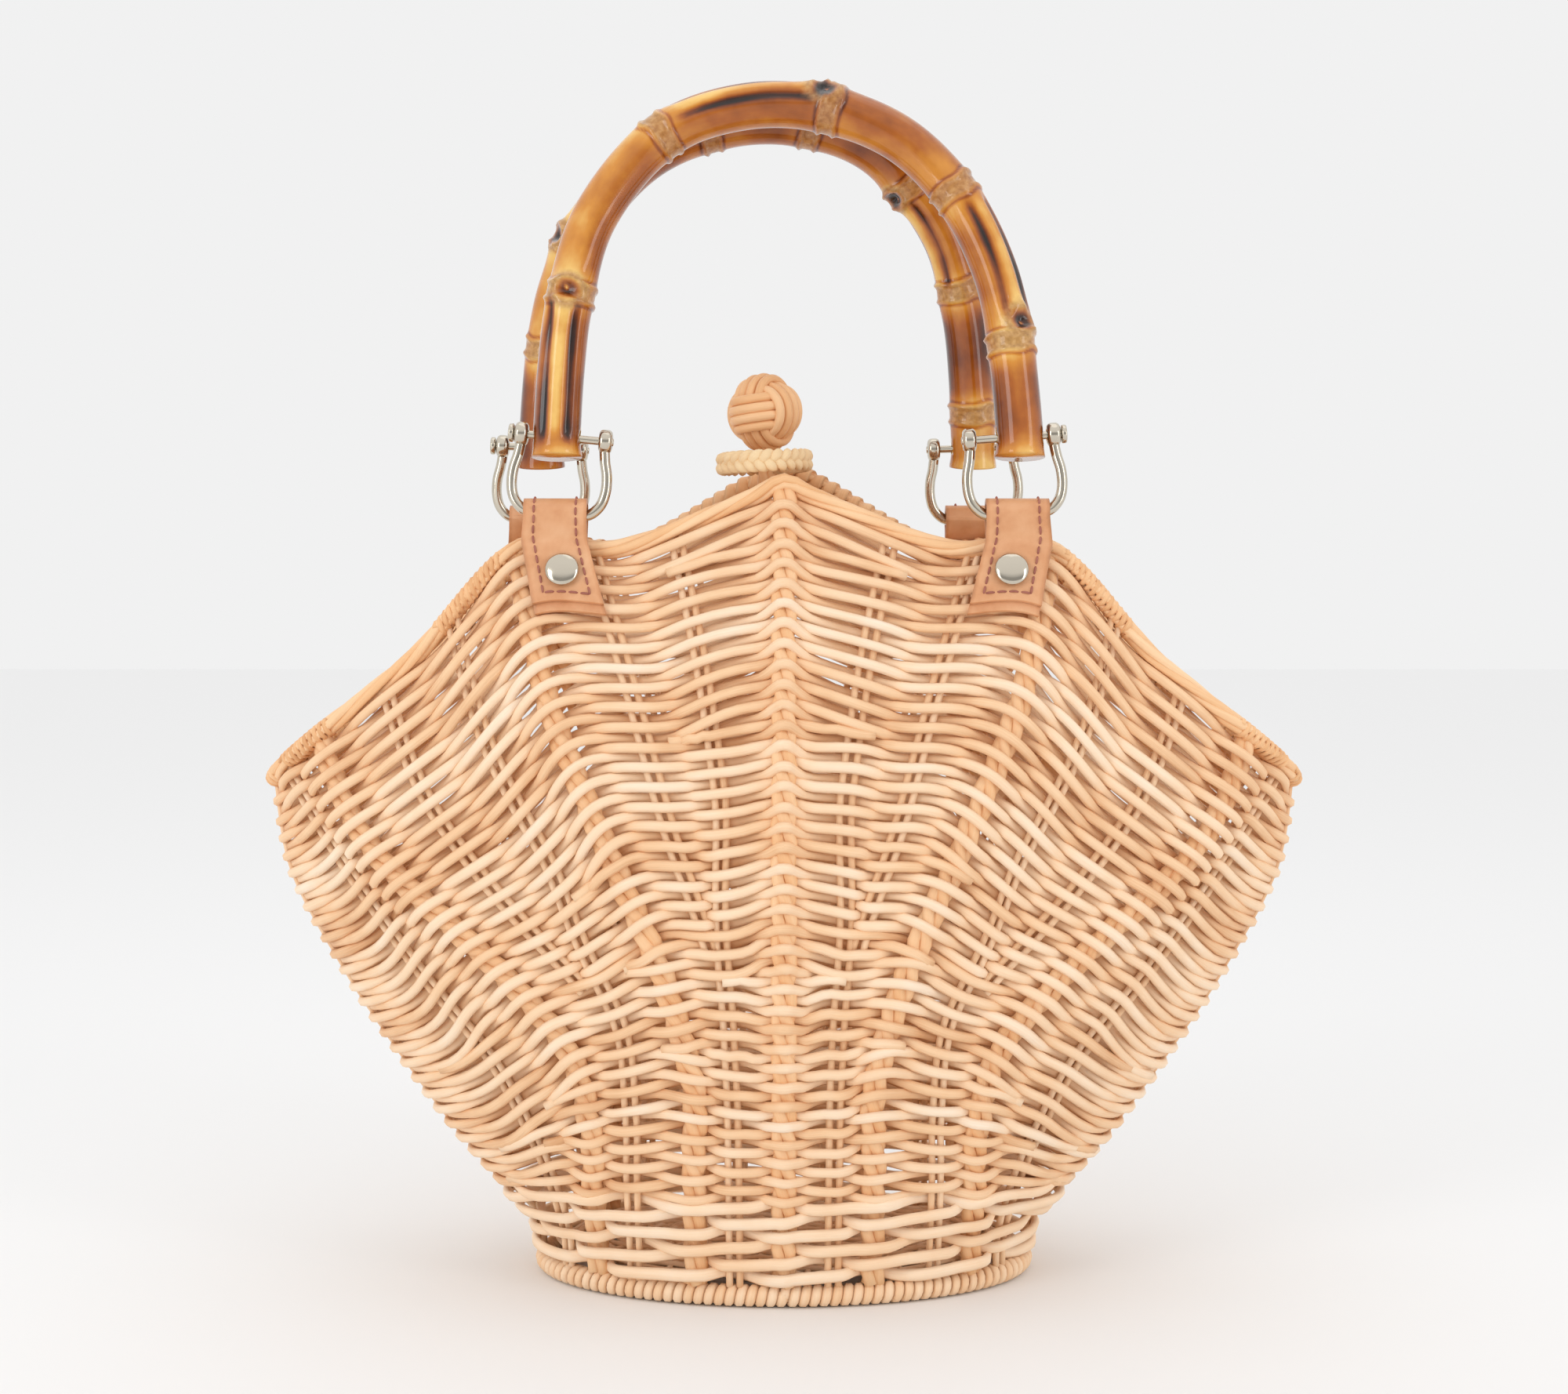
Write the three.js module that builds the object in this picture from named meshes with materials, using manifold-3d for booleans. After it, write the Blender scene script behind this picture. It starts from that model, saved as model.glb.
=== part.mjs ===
// Straw basket bag: a fan-shaped basket woven of round reed on an oval foot, open at the top,
// with a bound rim, a woven ball and a braided loop as the closure, and two bamboo handles.
// Each handle hangs on two bow shackles, and each shackle turns in a riveted leather tab.
// Millimetres, +Z up, +X to the right, the front faces -Y. The origin is on the floor, in the
// middle of the foot.
import * as THREE from "three";
import { mergeVertices } from "three/addons/utils/BufferGeometryUtils.js";
import Module from "manifold-3d";

const wasm = await Module();
wasm.setup();

// Basket sizes
const basketHalfWidth = 160.5;
const basketHeight = 249;
const bellyHalfDepth = 58;
const mouthHalfDepth = 23;
const footHalfWidth = 78.5;
const footHalfDepth = 50;
const wallThickness = 5;
const ridgeHeight = 3;
const backPeakRaise = 6;
const lensShare = 0.3;

// Foot border, base and rim binding
const footBorderHeight = 7;
const footBorderWidth = 8;
const footBorderRound = 2.6;
const baseThickness = 4;
const rimHeight = 5.5;
const rimWidth = 7;
const rimGap = 0.5;

// Closure
const ballRadius = 12.4;
const ballLift = 19;
const ballOffset = -6;
const neckRadius = 2.5;
const neckDrop = 8.5;
const loopHalfWidth = 12.5;
const loopHalfDepth = 18;
const loopRadius = 2.9;

// Sideways place of each handle's middle
const frontHandleOffset = 1.3;
const backHandleOffset = -8.6;

// Leather tabs and rivets
const tabWidth = 19;
const tabLength = 21.5;
const leatherThickness = 1.8;
const foldRadius = 2.9;
const foldOut = 5.6;
const foldUp = 7.2;
const underlayerShow = 2;
const rivetRadius = 5;
const rivetRise = 1.9;
const rivetShankRadius = 1.5;
const rivetDrop = 10.8;

// Shackles and their pins
const wireRadius = 1.6;
const bowReach = 23;
const bowStraight = 10;
const bowHalfWidth = 13;
const bowCornerInset = 0.5;
const earHalfSpacing = 12.6;
const earRadius = 3.6;
const earThickness = 4;
const pinRadius = 1.2;
const pinHeadRadius = 2.8;
const pinHeadThickness = 1.6;
const shackleLean = 7;

// Handles
const bambooRadius = 7;
const handleHalfSpan = 69.1;
const handleRise = 102.3;
const legBelowPin = 6;
const handleLean = 8.5;
const nodeSwell = 0.7;
const nodeHalfLength = 5;
const pinHoleRadius = 2.1;

// Gap between neighbouring pieces
const clearance = 0.3;

// Ribs of the basket from the middle of the front to the side. "foot" and "out" are shares of
// the foot's and the basket's half width, "up" is the rim's height there as a share of the
// basket's height, "ridge" is how far the rib stands proud as a share of the ridge height, and
// "raise" is how much higher the back rim is, as a share of the back peak's raise. "spread"
// says how far the rib has moved from its foot place to its rim place at each height step.
const HEIGHT_STEPS = [0, 0.1, 0.2, 0.3, 0.45, 0.6, 0.8, 1];
const RIBS = [
  { name: "middle ridge", foot: 0, out: 0, up: 1, ridge: 1, raise: 1,
    spread: [0, 0, 0, 0, 0, 0, 0, 1] },
  { name: "ridge edge", foot: 0.08, out: 0.075, up: 0.977, ridge: 0.3, raise: 1.1,
    spread: [0, 0, 0, 0, 0.05, 0.2, 0.55, 1] },
  { name: "first valley", foot: 0.19, out: 0.305, up: 0.92, ridge: 0, raise: 0.1,
    spread: [0, 0, 0, 0.01, 0.08, 0.3, 0.6, 1] },
  { name: "shoulder ridge", foot: 0.344, out: 0.505, up: 0.917, ridge: 1, raise: 0,
    spread: [0, 0, 0, 0, 0.18, 0.46, 0.81, 1] },
  { name: "second valley", foot: 0.595, out: 0.704, up: 0.785, ridge: 0, raise: 0,
    spread: [0, 0, 0, 0, 0.06, 0.37, 0.77, 1] },
  { name: "corner ridge", foot: 0.754, out: 0.91, up: 0.681, ridge: 0.9, raise: 0,
    spread: [0, 0, 0, 0, 0.08, 0.35, 0.8, 1] },
  { name: "corner edge", foot: 0.866, out: 0.978, up: 0.647, ridge: 0.3, raise: 0,
    spread: [0, 0.003, 0.035, 0.1, 0.243, 0.475, 0.746, 1] },
  { name: "side", foot: 1, out: 1, up: 0.627, ridge: 0, raise: 0,
    spread: [0, 0.015, 0.19, 0.354, 0.56, 0.744, 0.94, 1] },
];

// Side view of the middle of a wall: at each share of the basket's height, how far it has
// swelled from the foot to the belly, and how far it has closed from the belly to the mouth.
const PROFILE = [
  { up: 0, swell: 0, closing: 0 },
  { up: 0.06, swell: 0.05, closing: 0 },
  { up: 0.24, swell: 0.75, closing: 0 },
  { up: 0.44, swell: 1, closing: 0 },
  { up: 0.64, swell: 1, closing: 0.11 },
  { up: 0.8, swell: 1, closing: 0.44 },
  { up: 1, swell: 1, closing: 1 },
];

// Middle line of a handle, from the left leg to the right one. "out" is a share of the half
// span, "up" a share of the rise above the pins.
const ARCH = [
  { out: -1, up: 0 },
  { out: -0.985, up: 0.2 },
  { out: -0.945, up: 0.42 },
  { out: -0.84, up: 0.66 },
  { out: -0.54, up: 0.905 },
  { out: -0.2, up: 0.99 },
  { out: 0.14, up: 0.985 },
  { out: 0.48, up: 0.895 },
  { out: 0.735, up: 0.72 },
  { out: 0.9, up: 0.49 },
  { out: 0.965, up: 0.265 },
  { out: 1, up: 0 },
];

// Bamboo nodes of each handle, as shares of the length of its middle line
const FRONT_NODES = [0.17, 0.367, 0.55, 0.71, 0.882];
const BACK_NODES = [0.13, 0.248, 0.442, 0.553, 0.68, 0.805, 0.94];

// The four hangings: side of the bag, the handle's leg, how far the tab's middle is moved from
// that leg as a share of the tab's width, and the shackle's tilt in degrees.
const HANGINGS = [
  { name: "front_left", front: true, leg: -1, shift: -0.01, tilt: 5.5 },
  { name: "front_right", front: true, leg: 1, shift: -0.047, tilt: -4 },
  { name: "back_left", front: false, leg: -1, shift: -0.042, tilt: 3 },
  { name: "back_right", front: false, leg: 1, shift: 0.042, tilt: -2 },
];
for (const hanging of HANGINGS) {
  const middle = hanging.front ? frontHandleOffset : backHandleOffset;
  hanging.tabX = middle + hanging.leg * handleHalfSpan + hanging.shift * tabWidth;
}

// Mesh density
const STEPS_BETWEEN_RIBS = [2, 3, 3, 3, 3, 2, 2];
const WALL_ROWS = 10;
const RIM_SIDES = 6;
const HANDLE_STEPS = 26;
const HANDLE_SIDES = 10;
const WIRE_SIDES = 7;
const BOW_STEPS = 18;
const LOOP_SIDES = 8;
const LOOP_STEPS = 24;
const ROUND_SIDES = 12;
const BALL_SEGMENTS = 16;
const TAB_STATIONS = 3;
const FOLD_HOLE_SIDES = 9;

const quarter = RIBS.length - 1;
const wholeTurn = 4 * quarter;

const bag = new THREE.Group();

const materials = {
  rattan: { color: 0xe2bd8c, roughness: 0.62, metalness: 0 },
  binding: { color: 0xd9a76c, roughness: 0.6, metalness: 0 },
  leather: { color: 0xcf976a, roughness: 0.55, metalness: 0 },
  metal: { color: 0xcfc4ae, roughness: 0.2, metalness: 1 },
  bamboo: { color: 0xb9752f, roughness: 0.18, metalness: 0 },
};

function addMesh(name, geometry, finish) {
  const mesh = new THREE.Mesh(geometry, new THREE.MeshStandardMaterial(materials[finish]));
  mesh.name = name;
  bag.add(mesh);
}

// Solids from rings of points

function indexedGeometry(points, faces) {
  const geometry = new THREE.BufferGeometry();
  const flat = points.flatMap((point) => [point.x, point.y, point.z]);
  let volume = 0;
  for (const [a, b, c] of faces) {
    volume += points[a].dot(new THREE.Vector3().crossVectors(points[b], points[c]));
  }
  const outward = volume > 0 ? faces : faces.map(([a, b, c]) => [a, c, b]);
  geometry.setAttribute("position", new THREE.Float32BufferAttribute(flat, 3));
  geometry.setIndex(outward.flat());
  return geometry;
}

// Skins a row of rings that all have the same number of points. A closed loft joins its last
// ring to its first, and an open one is capped with a fan at each end.
function loft(rings, closed) {
  const count = rings[0].length;
  const points = rings.flat();
  const faces = [];
  const spans = closed ? rings.length : rings.length - 1;
  for (let i = 0; i < spans; i += 1) {
    const here = i * count;
    const next = ((i + 1) % rings.length) * count;
    for (let k = 0; k < count; k += 1) {
      const side = (k + 1) % count;
      faces.push([here + k, next + k, next + side]);
      faces.push([here + k, next + side, here + side]);
    }
  }
  if (!closed) {
    for (const [start, flip] of [[0, false], [(rings.length - 1) * count, true]]) {
      const middle = new THREE.Vector3();
      for (let k = 0; k < count; k += 1) middle.addScaledVector(points[start + k], 1 / count);
      points.push(middle);
      for (let k = 0; k < count; k += 1) {
        const side = (k + 1) % count;
        const face = [start + k, start + side, points.length - 1];
        faces.push(flip ? face.reverse() : face);
      }
    }
  }
  return indexedGeometry(points, faces);
}

function toSolid(geometry) {
  const bare = geometry.clone();
  bare.deleteAttribute("normal");
  bare.deleteAttribute("uv");
  const merged = mergeVertices(bare, 1e-4);
  return new wasm.Manifold(new wasm.Mesh({
    numProp: 3,
    vertProperties: new Float32Array(merged.attributes.position.array),
    triVerts: new Uint32Array(merged.index.array),
  }));
}

function toGeometry(solid) {
  const mesh = solid.getMesh();
  const geometry = new THREE.BufferGeometry();
  geometry.setAttribute("position", new THREE.Float32BufferAttribute(mesh.vertProperties, 3));
  geometry.setIndex(new THREE.Uint32BufferAttribute(mesh.triVerts, 1));
  return geometry;
}

// Surface of the basket. A place on it is a turn, counted in ribs from the middle of the front
// to the right and round the back, and a share of the way up the rib from floor to rim.

const ribCurves = RIBS.map((rib) => new THREE.SplineCurve(HEIGHT_STEPS.map((step, k) => {
  const footX = rib.foot * footHalfWidth;
  const rimX = rib.out * basketHalfWidth;
  return new THREE.Vector2(footX + (rimX - footX) * rib.spread[k], step * rib.up * basketHeight);
})));

const sideOutline = ribCurves[quarter].getSpacedPoints(80);

// Value between rows of numbers that are in rising order of the first one
function between(rows, value) {
  let k = 1;
  while (k < rows.length - 1 && rows[k][0] < value) k += 1;
  const [lowKey, low] = rows[k - 1];
  const [highKey, high] = rows[k];
  const share = (value - lowKey) / (highKey - lowKey);
  return low + (high - low) * share;
}

function halfWidthAt(height) {
  const top = sideOutline[sideOutline.length - 1];
  if (height >= top.y) return top.x;
  return between(sideOutline.map((point) => [point.y, point.x]), Math.max(height, 0));
}

const profileCurve = new THREE.SplineCurve(PROFILE.map((row) => new THREE.Vector2(
  row.up * basketHeight,
  footHalfDepth + (bellyHalfDepth - footHalfDepth) * row.swell
    - (bellyHalfDepth - mouthHalfDepth) * row.closing,
)));
const profileRows = profileCurve.getPoints(60).map((point) => [point.x, point.y]);

// Smooth blend of one value of four neighbouring ribs; past the middle ridge and past the side
// the ribs are mirrored, and a value that changes sign there is turned over.
function acrossRibs(rib, pick, mirrorSign) {
  const base = Math.min(Math.floor(rib), quarter - 1);
  const t = rib - base;
  const at = (index) => {
    if (index < 0) return mirrorSign * pick(-index);
    if (index > quarter) return pick(2 * quarter - index);
    return pick(index);
  };
  const [a, b, c, d] = [at(base - 1), at(base), at(base + 1), at(base + 2)];
  return 0.5 * (2 * b + (c - a) * t + (2 * a - 5 * b + 4 * c - d) * t * t
    + (3 * b - a - 3 * c + d) * t * t * t);
}

function ribOfTurn(turn) {
  const wrapped = ((turn % wholeTurn) + wholeTurn) % wholeTurn;
  const half = 2 * quarter;
  const front = wrapped < quarter || wrapped > 3 * quarter;
  const right = wrapped < half;
  const rib = Math.abs(wrapped < half ? wrapped : wholeTurn - wrapped);
  return { rib: rib > quarter ? half - rib : rib, front, right };
}

function ribLength(turn) {
  const { rib } = ribOfTurn(turn);
  return acrossRibs(rib, (index) => ribCurves[index].getLength(), 1);
}

function surfacePoint(turn, share) {
  const { rib, front, right } = ribOfTurn(turn);
  const along = Math.min(Math.max(share, 0), 1);
  const x = acrossRibs(rib, (index) => ribCurves[index].getPointAt(along).x, -1);
  const flatZ = acrossRibs(rib, (index) => ribCurves[index].getPointAt(along).y, 1);
  const ridge = acrossRibs(rib, (index) => RIBS[index].ridge, 1) * ridgeHeight;
  const raise = acrossRibs(rib, (index) => RIBS[index].raise, 1) * backPeakRaise;
  const z = flatZ + (front ? 0 : raise * along ** 3);
  const across = Math.min(Math.abs(x) / halfWidthAt(flatZ), 1);
  const oval = Math.sqrt(1 - across * across);
  const lens = 1 - across * across;
  const lensPart = lensShare * THREE.MathUtils.smoothstep(along, 0.1, 1);
  const depth = between(profileRows, z) * ((1 - lensPart) * oval + lensPart * lens);
  const proud = ridge * THREE.MathUtils.smoothstep(along, 0.08, 0.35);
  const y = rib === quarter ? 0 : depth + proud;
  return new THREE.Vector3(right ? x : -x, front ? -y : y, z);
}

// Outward normal, upward direction and point of the surface
function surfaceFrame(turn, share) {
  const turnStep = 0.05;
  const shareStep = 0.004;
  const low = Math.max(share - shareStep, 0);
  const high = Math.min(share + shareStep, 1);
  const point = surfacePoint(turn, share);
  const round = surfacePoint(turn + turnStep, share).sub(surfacePoint(turn - turnStep, share));
  const up = surfacePoint(turn, high).sub(surfacePoint(turn, low)).normalize();
  const out = round.normalize().clone().cross(up).normalize();
  return { point, up, out };
}

function alongFrame(frame, out, up) {
  return frame.point.clone().addScaledVector(frame.out, out).addScaledVector(frame.up, up);
}

const turns = [];
for (let q = 0; q < 4; q += 1) {
  for (let k = 0; k < quarter; k += 1) {
    const span = q % 2 === 0 ? k : quarter - 1 - k;
    const steps = STEPS_BETWEEN_RIBS[span];
    for (let i = 0; i < steps; i += 1) turns.push(q * quarter + k + i / steps);
  }
}

// Share of the rib at a distance from the floor, or at a distance below the rim's top
const shareFromFloor = (turn, distance) => distance / ribLength(turn);
const shareFromRim = (turn, distance) => 1 - distance / ribLength(turn);

function wallSection(turn) {
  const bottom = shareFromFloor(turn, footBorderHeight + clearance);
  const top = shareFromRim(turn, rimHeight + rimGap);
  const outer = [];
  const inner = [];
  for (let row = 0; row <= WALL_ROWS; row += 1) {
    const frame = surfaceFrame(turn, bottom + (top - bottom) * row / WALL_ROWS);
    const inward = row === 0 ? frame.out.clone().setZ(0).normalize() : frame.out;
    outer.push(frame.point);
    inner.unshift(frame.point.clone().addScaledVector(inward, -wallThickness));
  }
  return [...outer, ...inner];
}

// The foot border is a band that follows the foot, rounded outside and flat underneath
function footBorderSection(turn) {
  const frame = surfaceFrame(turn, shareFromFloor(turn, footBorderHeight));
  const outward = frame.out.clone().setZ(0).normalize();
  const place = (out, z) => frame.point.clone().addScaledVector(outward, out).setZ(z);
  return [
    place(-footBorderRound, 0),
    place(0, footBorderRound),
    place(0, footBorderHeight),
    place(-footBorderWidth, footBorderHeight),
    place(-footBorderWidth, footBorderRound / 2),
    place(-footBorderWidth + footBorderRound / 2, 0),
  ];
}

// Middle of the rim binding over the wall's top edge
function rimFrame(turn) {
  const frame = surfaceFrame(turn, shareFromRim(turn, rimHeight + rimGap));
  frame.point = alongFrame(frame, -wallThickness / 2, rimGap + rimHeight / 2);
  return frame;
}

function rimSection(turn) {
  const frame = rimFrame(turn);
  const section = [];
  for (let k = 0; k < RIM_SIDES; k += 1) {
    const angle = 2 * Math.PI * k / RIM_SIDES;
    const out = Math.cos(angle) * rimWidth / 2;
    const up = Math.sin(angle) * rimHeight / 2 / Math.sin(Math.PI / 3);
    section.push(alongFrame(frame, out, up));
  }
  return section;
}

function addBasket() {
  addMesh("basket_body", loft(turns.map(wallSection), true), "rattan");
  addMesh("foot_border", loft(turns.map(footBorderSection), true), "binding");
  addMesh("rim_binding", loft(turns.map(rimSection), true), "binding");
  const floor = footBorderHeight + clearance;
  const outline = turns.map((turn) => {
    const frame = surfaceFrame(turn, shareFromFloor(turn, floor + baseThickness / 2));
    const inward = frame.out.clone().setZ(0).normalize();
    const edge = frame.point.clone().addScaledVector(inward, -wallThickness - clearance);
    return new THREE.Vector2(edge.x, edge.y);
  });
  const base = new THREE.ExtrudeGeometry(new THREE.Shape(outline), {
    depth: baseThickness, bevelEnabled: false, steps: 1,
  });
  base.translate(0, 0, floor);
  addMesh("base_panel", base, "rattan");
}

// Closure: the loop lies on the front rim's peak, and the ball stands in it on a neck that
// bends back to the inside of the back wall.

function circleShape(radius, sides) {
  const points = [];
  for (let k = 0; k < sides; k += 1) {
    const angle = 2 * Math.PI * k / sides;
    points.push(new THREE.Vector2(radius * Math.cos(angle), radius * Math.sin(angle)));
  }
  return new THREE.Shape(points);
}

function tube(path, radius, sides, steps) {
  return new THREE.ExtrudeGeometry(circleShape(radius, sides), {
    extrudePath: path, steps, bevelEnabled: false,
  });
}

function addClosure() {
  const frontRim = rimFrame(0).point;
  const rimTop = Math.max(...rimSection(0).map((point) => point.z));
  const loopZ = rimTop + clearance + loopRadius;
  const loopY = frontRim.y + loopHalfDepth;
  const rings = [];
  for (let step = 0; step < LOOP_STEPS; step += 1) {
    const around = 2 * Math.PI * step / LOOP_STEPS;
    const cos = Math.cos(around);
    const sin = Math.sin(around);
    const centre = new THREE.Vector3(
      ballOffset + loopHalfWidth * cos, loopY + loopHalfDepth * sin, loopZ,
    );
    const away = new THREE.Vector3(loopHalfDepth * cos, loopHalfWidth * sin, 0).normalize();
    const ring = [];
    for (let k = 0; k < LOOP_SIDES; k += 1) {
      const angle = 2 * Math.PI * k / LOOP_SIDES;
      const point = centre.clone().addScaledVector(away, loopRadius * Math.cos(angle));
      ring.push(point.setZ(loopZ + loopRadius * Math.sin(angle)));
    }
    rings.push(ring);
  }
  addMesh("closure_loop", loft(rings, true), "binding");

  const ballY = loopY + loopHalfDepth - loopRadius - neckRadius - 2 * clearance;
  const ballZ = rimTop + ballLift;
  const back = turnAtX(ballOffset, false);
  const seat = surfaceFrame(back, shareFromRim(back, rimHeight + neckDrop));
  const neckEnd = alongFrame(seat, -wallThickness - 2 * clearance, 0);
  const neckBend = alongFrame(seat, -wallThickness - 2 * neckRadius, 0);
  const neckPath = new THREE.CatmullRomCurve3([
    new THREE.Vector3(ballOffset, ballY, ballZ - ballRadius / 2),
    new THREE.Vector3(ballOffset, ballY, loopZ),
    neckBend.setX(ballOffset),
    neckEnd.setX(ballOffset),
  ]);
  const ball = new THREE.SphereGeometry(ballRadius, BALL_SEGMENTS, BALL_SEGMENTS / 2);
  ball.rotateX(Math.PI / 2);
  ball.translate(ballOffset, ballY, ballZ);
  const knob = toSolid(ball).add(toSolid(tube(neckPath, neckRadius, WIRE_SIDES, WIRE_SIDES)));
  addMesh("closure_knob", toGeometry(knob), "binding");
}

// Hangings

const outwardSign = (hanging) => (hanging.front ? -1 : 1);

// Turn at which the rim passes a given X on the front or the back
function turnAtX(x, front) {
  let low = 0;
  let high = quarter;
  for (let i = 0; i < 40; i += 1) {
    const middle = (low + high) / 2;
    if (rimFrame(middle).point.x < Math.abs(x)) low = middle;
    else high = middle;
  }
  const rib = (low + high) / 2;
  const side = x >= 0 ? rib : -rib;
  return front ? side : 2 * quarter - side;
}

// The two tabs of one handle share a fold axis along X, which is where the shackles turn
function foldAxis(front) {
  const places = HANGINGS.filter((hanging) => hanging.front === front).map((hanging) => {
    const frame = rimFrame(turnAtX(hanging.tabX, front));
    const out = frame.out.clone().setX(0).normalize();
    const up = frame.up.clone().setX(0).normalize();
    return frame.point.clone().addScaledVector(out, foldOut).addScaledVector(up, foldUp);
  });
  const reach = Math.max(...places.map((place) => Math.abs(place.y)));
  return { y: front ? -reach : reach, z: Math.max(...places.map((place) => place.z)) };
}

const foldAxes = { true: foldAxis(true), false: foldAxis(false) };

function pinAxis(front) {
  const fold = foldAxes[front];
  const lean = THREE.MathUtils.degToRad(shackleLean);
  const inward = front ? 1 : -1;
  return {
    y: fold.y + inward * bowReach * Math.sin(lean),
    z: fold.z + bowReach * Math.cos(lean),
  };
}

const pinAxes = { true: pinAxis(true), false: pinAxis(false) };

// A tab is a strap folded over the shackle's bow. Its cross-section is drawn at stations
// across its width: round the fold, down the outside of the wall and back up against it. The
// face drops are shares of the tab's length.
const FOLD_ANGLES = [-20, 15, 50, 85, 120, 160, 205];
const FACE_DROPS = [0, 0.22, 0.48, 0.74];

// Point of a tab over the wall: "drop" is how far it lies below the rim binding's middle, and
// "out" how far it stands off the tab's inner face, which clears the rim and then the wall.
function tabFrame(hanging, x, drop, out) {
  const turn = turnAtX(x, hanging.front);
  const frame = surfaceFrame(turn, shareFromRim(turn, rimHeight / 2 + drop));
  const overRim = (rimWidth - wallThickness) / 2;
  const lift = overRim * THREE.MathUtils.clamp(2 - drop / rimHeight, 0, 1);
  frame.point = alongFrame(frame, clearance + lift + out, 0);
  return frame;
}

function tabStation(hanging, x) {
  const turn = turnAtX(x, hanging.front);
  const fold = foldAxes[hanging.front];
  const outward = outwardSign(hanging);
  const ringRadius = foldRadius + leatherThickness;
  const ringPoint = (radius, degrees) => {
    const angle = THREE.MathUtils.degToRad(degrees);
    return new THREE.Vector3(
      x, fold.y + outward * radius * Math.cos(angle), fold.z + radius * Math.sin(angle),
    );
  };
  const wallPoint = (drop, out) => tabFrame(hanging, x, drop, out).point;
  const shoulder = alongFrame(rimFrame(turn), rimWidth / 2 + clearance, rimHeight / 2);
  const layers = 2 * leatherThickness;
  const bottom = tabLength - underlayerShow;
  const outline = [
    ...FOLD_ANGLES.slice().reverse().map((degrees) => ringPoint(ringRadius, degrees)),
    ...FACE_DROPS.map((share) => wallPoint(share * tabLength, layers)),
    wallPoint(bottom, layers),
    wallPoint(bottom, leatherThickness),
    wallPoint(tabLength, leatherThickness),
    wallPoint(tabLength, 0),
    ...FACE_DROPS.slice().reverse().map((share) => wallPoint(share * tabLength, 0)),
    shoulder,
  ];
  const hole = [];
  for (let k = 0; k < FOLD_HOLE_SIDES; k += 1) {
    hole.push(ringPoint(foldRadius, 360 * k / FOLD_HOLE_SIDES));
  }
  return { outline, hole };
}

function tabGeometry(hanging) {
  const stations = [];
  for (let i = 0; i <= TAB_STATIONS; i += 1) {
    stations.push(tabStation(hanging, hanging.tabX + tabWidth * (i / TAB_STATIONS - 0.5)));
  }
  const outlineCount = stations[0].outline.length;
  const count = outlineCount + FOLD_HOLE_SIDES;
  const points = stations.flatMap((station) => [...station.outline, ...station.hole]);
  const faces = [];
  for (let i = 0; i < TAB_STATIONS; i += 1) {
    for (const [start, length] of [[0, outlineCount], [outlineCount, FOLD_HOLE_SIDES]]) {
      for (let k = 0; k < length; k += 1) {
        const a = i * count + start + k;
        const b = i * count + start + (k + 1) % length;
        faces.push([a, a + count, b + count]);
        faces.push([a, b + count, b]);
      }
    }
  }
  const flat = (point) => new THREE.Vector2(outwardSign(hanging) * point.y, point.z);
  const ends = [stations[0], stations[TAB_STATIONS]];
  ends.forEach((station, end) => {
    const contour = station.outline.map(flat);
    const hole = station.hole.map(flat);
    const start = end * TAB_STATIONS * count;
    const order = THREE.ShapeUtils.isClockWise(contour);
    for (const face of THREE.ShapeUtils.triangulateShape(contour, [hole])) {
      const placed = face.map((index) => start + index);
      faces.push((end === 0) === order ? placed.reverse() : placed);
    }
  });
  return indexedGeometry(points, faces);
}

// Place and direction of the rivet on the outer face of a tab. The rivet's head is flat, so it
// is lifted to clear the highest place of the leather under its rim.
function rivetFrame(hanging) {
  const face = (x, drop) => tabFrame(hanging, x, drop, 2 * leatherThickness);
  const frame = face(hanging.tabX, rivetDrop);
  const around = [];
  for (const side of [-1, 0, 1]) {
    for (const rise of [-1, 0, 1]) {
      const spot = face(hanging.tabX + side * rivetRadius, rivetDrop + rise * rivetRadius);
      around.push(spot.point.sub(frame.point).dot(frame.out));
    }
  }
  frame.point = alongFrame(frame, Math.max(...around), 0);
  return frame;
}

function pointAlong(geometry, direction, place) {
  const upright = new THREE.Vector3(0, 0, 1);
  geometry.rotateX(Math.PI / 2);
  geometry.applyQuaternion(new THREE.Quaternion().setFromUnitVectors(upright, direction));
  geometry.translate(place.x, place.y, place.z);
  return geometry;
}

function rivetGeometry(hanging) {
  const frame = rivetFrame(hanging);
  const shankLength = 2 * leatherThickness;
  const profile = [
    new THREE.Vector2(0, -shankLength),
    new THREE.Vector2(rivetShankRadius, -shankLength),
    new THREE.Vector2(rivetShankRadius, 0),
    new THREE.Vector2(rivetRadius, 0),
    new THREE.Vector2(rivetRadius, rivetRise * 0.35),
    new THREE.Vector2(rivetRadius * 0.62, rivetRise * 0.82),
    new THREE.Vector2(0, rivetRise),
  ];
  const seat = alongFrame(frame, clearance, 0);
  return pointAlong(new THREE.LatheGeometry(profile, ROUND_SIDES), frame.out, seat);
}

function addTab(hanging) {
  const frame = rivetFrame(hanging);
  const drill = new THREE.CylinderGeometry(
    rivetShankRadius + clearance, rivetShankRadius + clearance, 6 * leatherThickness,
    ROUND_SIDES,
  );
  pointAlong(drill, frame.out, frame.point);
  const tab = toSolid(tabGeometry(hanging)).subtract(toSolid(drill));
  addMesh(`tab_${hanging.name}`, toGeometry(tab), "leather");
  addMesh(`rivet_${hanging.name}`, rivetGeometry(hanging), "metal");
}

// A shackle is drawn upright round its fold axis, then tilted, leaned and moved into place
function placeOnFold(geometry, hanging) {
  const fold = foldAxes[hanging.front];
  geometry.rotateY(THREE.MathUtils.degToRad(hanging.tilt));
  geometry.rotateX(THREE.MathUtils.degToRad(outwardSign(hanging) * shackleLean));
  geometry.translate(hanging.tabX, fold.y, fold.z);
  return geometry;
}

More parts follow.
